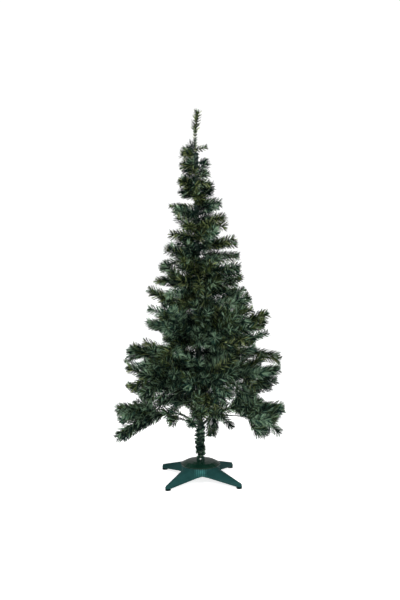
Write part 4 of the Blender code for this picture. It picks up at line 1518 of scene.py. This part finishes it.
class TREE_OT_wind_garland(bpy.types.Operator):
    """Winds a garland of short cut strands round the foot of the pole"""

    bl_idname = "tree.wind_garland"
    bl_label = "Wind Garland"

    def execute(self, context):
        wraps = context.scene.tree_wraps
        colours = context.scene.tree_colours
        foot = self.strands(GARLAND_BOTTOM, GARLAND_TOP, wraps.garland_strands, wraps, GARLAND_SEED)
        rest = self.strands(GARLAND_TOP, POLE_TOP, wraps.pole_strands, wraps, GARLAND_SEED + 1)
        joined = [np.concatenate(pair) for pair in zip(foot, rest)]
        # Pale tufts on the garland itself are painted glints of the tinsel
        glints = (np.arange(len(joined[0])) // TUFT % GLINT_EVERY == 0) & (joined[0][:, 2] < GARLAND_TOP)
        dark = Vector(colours.blue).lerp(Vector(colours.deep), DARK_STRANDS)
        light = Vector(colours.blue).lerp(Vector(colours.pale), PALE_STRANDS)
        for name, colour, chosen in (("pole_garland", dark, ~glints), ("garland_glints", light, glints)):
            mesh = strip_mesh(name, *(values[chosen] for values in joined), wraps.strand_width)
            mesh.transform(leaning())
            finish = film_finish(f"{name}_film", colour, clump=90.0, spread=0.5)
            placed(name, mesh, finish, "garland", "trunk_garland")
        return {"FINISHED"}

    def strands(self, low, high, count, wraps, seed):
        """Strands between two heights, thickest along the garland's own turns."""
        source = np.random.default_rng(seed)
        tufts = count // TUFT
        count = tufts * TUFT
        share = np.repeat((np.arange(tufts) + source.random(tufts)) / tufts, TUFT)
        heights = low + GARLAND_END + (high - low - 2 * GARLAND_END) * share
        heights += source.normal(0, STRAND_STRAY, count)
        wound = 2 * math.pi * heights / wraps.garland_pitch
        turns = wound + np.repeat(source.normal(0, TUFT_TURN, tufts), TUFT)
        turns += source.normal(0, STRAND_TURN, count)
        ridge = 0.5 + 0.5 * np.cos(turns - wound)
        out = np.stack([np.cos(turns), np.sin(turns), np.zeros(count)], 1)
        along = np.stack([-np.sin(turns), np.cos(turns), np.zeros(count)], 1)
        tall = np.array((0.0, 0.0, 1.0))
        walls = np.array([pole_radius(height) for height in heights])[:, None]
        furthest = np.interp(heights, (SHORTEN_FROM, SHORTEN_TO), (GARLAND_REACH, POLE_FLUFF))
        reach = (furthest - walls[:, 0]) * (0.5 + 0.5 * ridge)
        reach *= np.repeat(source.uniform(*TUFT_REACH, tufts), TUFT)
        lean = np.repeat(source.normal(0, TUFT_LEAN, (tufts, 2)), TUFT, axis=0)
        lean += source.normal(0, STRAND_LEAN, (count, 2))
        first = unit(out + along * lean[:, :1] + tall * lean[:, 1:])
        second = unit(first + tall * STRAND_LIFT)
        roots = out * walls + tall * heights[:, None]
        middles = roots + first * reach[:, None] * STRAND_KNEE
        tips = middles + second * reach[:, None] * (1 - STRAND_KNEE)
        return roots, middles, tips, unit(np.cross(first, source.normal(size=(count, 3))))


class TREE_OT_wrap_boughs(bpy.types.Operator):
    """Makes the boughs as tapering wires wound with tape, on the model's own courses"""

    bl_idname = "tree.wrap_boughs"
    bl_label = "Wrap Boughs"

    def execute(self, context):
        wraps = context.scene.tree_wraps
        shape = bmesh.new()
        replaced = []
        for tier in TIERS:
            for index, turn in enumerate(tier.bearings, 1):
                course = np.array(bough_points(tier, turn))
                self.wrap(shape, course, wraps)
                replaced.append(f"bough_{tier.name}_{index}")
        bmesh.ops.recalc_face_normals(shape, faces=shape.faces)
        colour = [BOUGH_SHADE * part for part in context.scene.tree_colours.paint]
        finish = grain_finish(
            "wrapped_bough_tape", colour, grain=1600.0, depth=0.4, cloudiness=0.25, roughness=0.5
        )
        boughs = finished("boughs_wrapped", shape, finish, "bough_wire", *replaced)
        boughs.data.shade_smooth()
        return {"FINISHED"}

    def wrap(self, shape, course, wraps):
        """Extrudes one ring along the course, and swells it where the tape laps."""
        length = np.linalg.norm(np.diff(course, axis=0), axis=1).sum()
        count = int(length / BOUGH_RING_EVERY)
        points, tangents = along_course(course, np.linspace(0, 1, count))
        ring = bmesh.ops.create_circle(shape, cap_ends=False, segments=BOUGH_SIDES, radius=1.0)["verts"]
        flat = [corner.co.copy() for corner in ring]
        shape.faces.new(ring)
        edges = list({edge for corner in ring for edge in corner.link_edges})
        for step, (point, tangent) in enumerate(zip(points, tangents)):
            share = step / (count - 1)
            radius = BOUGH_ROOT_RADIUS + (BOUGH_TIP_RADIUS - BOUGH_ROOT_RADIUS) * share
            place = frame_along(Vector(tangent), Vector(point))
            for corner, spot in zip(ring, flat):
                turn = math.atan2(spot.y, spot.x)
                out = radius + tape_lap(turn, share * length, wraps.bough_pitch, wraps.bough_lap)
                corner.co = place @ Vector((0.0, spot.x * out, spot.y * out))
            if step == count - 1:
                shape.faces.new(ring)
                break
            grown = bmesh.ops.extrude_edge_only(shape, edges=edges)["geom"]
            lifted = [item for item in grown if isinstance(item, bmesh.types.BMVert)]
            edges = [item for item in grown if isinstance(item, bmesh.types.BMEdge)]
            edges = [edge for edge in edges if all(corner in lifted for corner in edge.verts)]
            ring = sorted(lifted, key=lambda corner: self.nearest(corner, ring))

    def nearest(self, corner, ring):
        """The place in the ring before of the corner that this one was extruded from."""
        return min(range(len(ring)), key=lambda index: (ring[index].co - corner.co).length)


class TREE_OT_grow_foliage(bpy.types.Operator):
    """Grows every mass of foliage as brushes of needles, by the model's own rule"""

    bl_idname = "tree.grow_foliage"
    bl_label = "Grow Foliage"

    def execute(self, context):
        sizes = context.scene.tree_needles
        colours = context.scene.tree_colours
        foliage = [name for name in NODES if name.startswith("foliage")]
        masses = masses_on_boughs() + masses_on_pole()
        stems = [
            bent_course(mass.foot, mass.heading, mass.stem, Vector(), TWIG_POINTS)
            for mass in masses
        ]
        brushes = self.brushes_on_masses(masses, stems, sizes)
        for tier in TIERS:
            for turn in tier.bearings:
                chance = random.Random(f"tufts {tier.name} {turn}")
                brushes += brushes_on_bough(tier, turn, sizes, chance)
        brushes += brushes_on_pole(sizes)
        brushes = [brush for brush in map(out_of_sky, brushes) if brush]
        brushes += edge_brushes(brushes, sizes) + leader_brushes(sizes)
        self.twist_wires(stems, brushes, sizes, colours, foliage)
        self.cut_needles(brushes, sizes, colours, foliage)
        return {"FINISHED"}

    def brushes_on_masses(self, masses, stems, sizes):
        """The brushes of every mass's sprays, and one along each mass's stem."""
        surfaces = [stem_surface(mass) for mass in masses]
        limbs = ("bough", "stand", "foot", "trunk", "foliage_leader")
        taken = [node_surface(node) for name, node in NODES.items() if name.startswith(limbs)]
        brushes = []
        for index, (mass, stem) in enumerate(zip(masses, stems)):
            chance = random.Random(f"brushes {mass.name}")
            sprays, own = sprays_of(mass, taken + surfaces[:index] + surfaces[index + 1:])
            taken += own
            for spray in sprays:
                brushes += brushes_of_spray(spray, sizes, 0 if "crown" in mass.name else SIDE_TWIGS, chance)
            brushes.append(Brush(stem, sizes.length, STEM_THICKNESS, "deep"))
        return brushes

    def twist_wires(self, stems, brushes, sizes, colours, foliage):
        """The stems and the brushes' wires, in one piece."""
        root, tip = (STEM_WIRE_SHARE * radius for radius in (STEM_RADIUS, STEM_TIP_RADIUS))
        wires = [(stem, np.linspace(root, tip, len(stem))) for stem in stems]
        root, tip = (share * sizes.wire_radius for share in WIRE_TAPER)
        wires += [(brush.course, np.linspace(root, tip, len(brush.course))) for brush in brushes]
        finish = film_finish("twisted_wire", colours.wire, clump=300.0, spread=0.3, roughness=0.4)
        placed("twig_wires", wire_mesh("twig_wires", wires), finish, "bough_wire", *foliage)

    def cut_needles(self, brushes, sizes, colours, foliage):
        """The needles of every brush, dealt out by clumps to the colours of its mix."""
        source = np.random.default_rng(NEEDLE_SEED)
        kinds = {name: [] for name in ("deep", "moss", "blue", "olive", "straw", "pale")}
        for brush in brushes:
            needles = needles_of(brush, sizes, source)
            picks = np.repeat(source.random(len(needles[0]) // sizes.clump), sizes.clump)
            passed = 0.0
            for kind, share in MIXES[brush.colour].items():
                chosen = (picks >= passed) & (picks < passed + share)
                kinds[kind].append([values[chosen] for values in needles])
                passed += share
        for kind, groups in kinds.items():
            finish = film_finish(f"needle_film_{kind}", getattr(colours, kind))
            rows = [np.concatenate(column) for column in zip(*groups)]
            pieces = math.ceil(len(rows[0]) / MOST_NEEDLES)
            for piece in range(pieces):
                name = f"needles_{kind}_{piece + 1}"
                part = [values[piece::pieces] for values in rows]
                placed(name, strip_mesh(name, *part, sizes.width), finish, "needles", *foliage)


class TREE_OT_finish_stand(bpy.types.Operator):
    """Gives the stand's two halves, its cap, feet and screw their finishes"""

    bl_idname = "tree.finish_stand"
    bl_label = "Finish Stand"

    def execute(self, context):
        colours = context.scene.tree_colours
        plastic = grain_finish(
            "stand_plastic",
            colours.plastic,
            grain=1500.0,
            depth=0.12,
            cloudiness=0.14,
            roughness=0.4,
            specular=MATT_PLASTIC,
        )
        # Painted highlight on the ribs of the hub's front
        paint_rib_highlight(plastic)
        dark = [FOOT_SHADE * part for part in colours.plastic]
        foot = grain_finish(
            "foot_plastic",
            dark,
            grain=1200.0,
            depth=0.3,
            cloudiness=0.2,
            roughness=0.5,
            specular=MATT_PLASTIC,
        )
        steel = grain_finish(
            "screw_steel",
            colours.steel,
            grain=2500.0,
            depth=0.1,
            cloudiness=0.1,
            roughness=0.28,
            metallic=1.0,
        )
        cap = grain_finish(
            "cap_plastic", colours.cap, grain=1500.0, depth=0.1, cloudiness=0.2, roughness=0.2, specular=0.26
        )
        finishes = {"stand_left": plastic, "stand_right": plastic, "stand_cap": cap, "stand_screw": steel}
        finishes.update({f"foot_{index}": foot for index in range(1, 5)})
        for name, finish in finishes.items():
            for slot in NODES[name].material_slots:
                slot.material = finish
        return {"FINISHED"}


class TREE_OT_set_stage(bpy.types.Operator):
    """Sets the camera, the pale floor and the soft studio light"""

    bl_idname = "tree.set_stage"
    bl_label = "Set Stage"

    def execute(self, context):
        studio = context.scene.tree_studio
        scene = context.scene
        camera = bpy.data.objects.new("camera", bpy.data.cameras.new("camera"))
        camera.data.sensor_width = SENSOR_WIDTH
        camera.data.lens = studio.lens
        camera.location = (EYE_RIGHT, -studio.distance, studio.height)
        camera.rotation_euler = (math.pi / 2 - studio.pitch, 0.0, 0.0)
        scene.collection.objects.link(camera)
        scene.camera = camera
        self.paper_floor(scene, studio)
        self.backdrop(scene, studio)
        self.softbox("key_light", place=(-1.9, -2.6, 3.0), size=1.6, power=studio.key)
        self.softbox("fill_light", place=(2.4, -2.0, 1.6), size=1.8, power=studio.fill)
        scene.view_settings.view_transform = "Standard"
        return {"FINISHED"}

    def paper_floor(self, scene, studio):
        """A pale floor, lit of its own, more brightly to the camera than to the tree."""
        shape = bmesh.new()
        bmesh.ops.create_circle(shape, cap_ends=True, segments=64, radius=studio.floor)
        mesh = bpy.data.meshes.new("floor")
        shape.to_mesh(mesh)
        shape.free()
        paper = grain_finish(
            "floor_paper", PAPER, grain=60.0, depth=0.02, cloudiness=0.005, roughness=0.9, specular=0.2
        )
        tree = paper.node_tree
        sheet = tree.nodes["Principled BSDF"]
        sheet.inputs["Emission Color"].default_value = (1.0, 1.0, 1.0, 1.0)
        seen_straight = add_node(tree, "ShaderNodeLightPath", {}).outputs["Is Camera Ray"]
        glow = span(tree, seen_straight, 0.0, 1.0, studio.bounce, studio.glow)
        tree.links.new(glow, sheet.inputs["Emission Strength"])
        mesh.materials.append(paper)
        floor = bpy.data.objects.new("floor", mesh)
        scene.collection.objects.link(floor)

    def backdrop(self, scene, studio):
        """A white backdrop, in a room that is dimmer than it, and dimmest behind the tree."""
        world = bpy.data.worlds.new("studio")
        world.use_nodes = True
        tree = world.node_tree
        light = tree.nodes["Background"]
        light.inputs["Color"].default_value = (1.0, 1.0, 1.0, 1.0)
        place = add_node(tree, "ShaderNodeTexCoord", {}).outputs["Generated"]
        back = add_node(tree, "ShaderNodeSeparateXYZ", {0: place}).outputs["Y"]
        room = span(tree, back, DIM_FROM, DIM_TO, studio.room, studio.room * DIM_SHARE)
        seen_straight = add_node(tree, "ShaderNodeLightPath", {}).outputs["Is Camera Ray"]
        strength = span(tree, seen_straight, 0.0, 1.0, room, BACKDROP_WHITE)
        tree.links.new(strength, light.inputs["Strength"])
        scene.world = world

    def softbox(self, name, place, size, power):
        """A square light that looks at the middle of the tree."""
        light = bpy.data.lights.new(name, "AREA")
        light.size = size
        light.energy = power
        lamp = bpy.data.objects.new(name, light)
        lamp.location = place
        lamp.rotation_euler = (LIT_POINT - Vector(place)).to_track_quat("-Z", "Y").to_euler()
        bpy.context.scene.collection.objects.link(lamp)


class VIEW3D_PT_tree(bpy.types.Panel):
    """Lists the tree's sizes and colours and the steps that make it"""

    bl_label = "Christmas Tree"
    bl_space_type = "VIEW_3D"
    bl_region_type = "UI"
    bl_category = "Tree"

    def draw(self, context):
        for label, settings in SETTINGS.items():
            box = self.layout.box()
            group = getattr(context.scene, label)
            for name in settings.__annotations__:
                box.prop(group, name)
        for step in STEPS:
            self.layout.operator(step.bl_idname)


SETTINGS = {
    "tree_needles": TreeNeedles,
    "tree_wraps": TreeWraps,
    "tree_colours": TreeColours,
    "tree_studio": TreeStudio,
}
STEPS = (
    TREE_OT_set_stage,
    TREE_OT_wrap_pole,
    TREE_OT_wind_garland,
    TREE_OT_wrap_boughs,
    TREE_OT_grow_foliage,
    TREE_OT_finish_stand,
)


def register():
    for label, settings in SETTINGS.items():
        bpy.utils.register_class(settings)
        setattr(bpy.types.Scene, label, PointerProperty(type=settings))
    for step in STEPS:
        bpy.utils.register_class(step)
    bpy.utils.register_class(VIEW3D_PT_tree)


def unregister():
    bpy.utils.unregister_class(VIEW3D_PT_tree)
    for step in reversed(STEPS):
        bpy.utils.unregister_class(step)
    for label, settings in SETTINGS.items():
        delattr(bpy.types.Scene, label)
        bpy.utils.unregister_class(settings)


def main():
    register()
    bpy.ops.tree.set_stage()
    bpy.ops.tree.wrap_pole()
    bpy.ops.tree.wind_garland()
    bpy.ops.tree.wrap_boughs()
    bpy.ops.tree.grow_foliage()
    bpy.ops.tree.finish_stand()


if __name__ == "__main__":
    main()
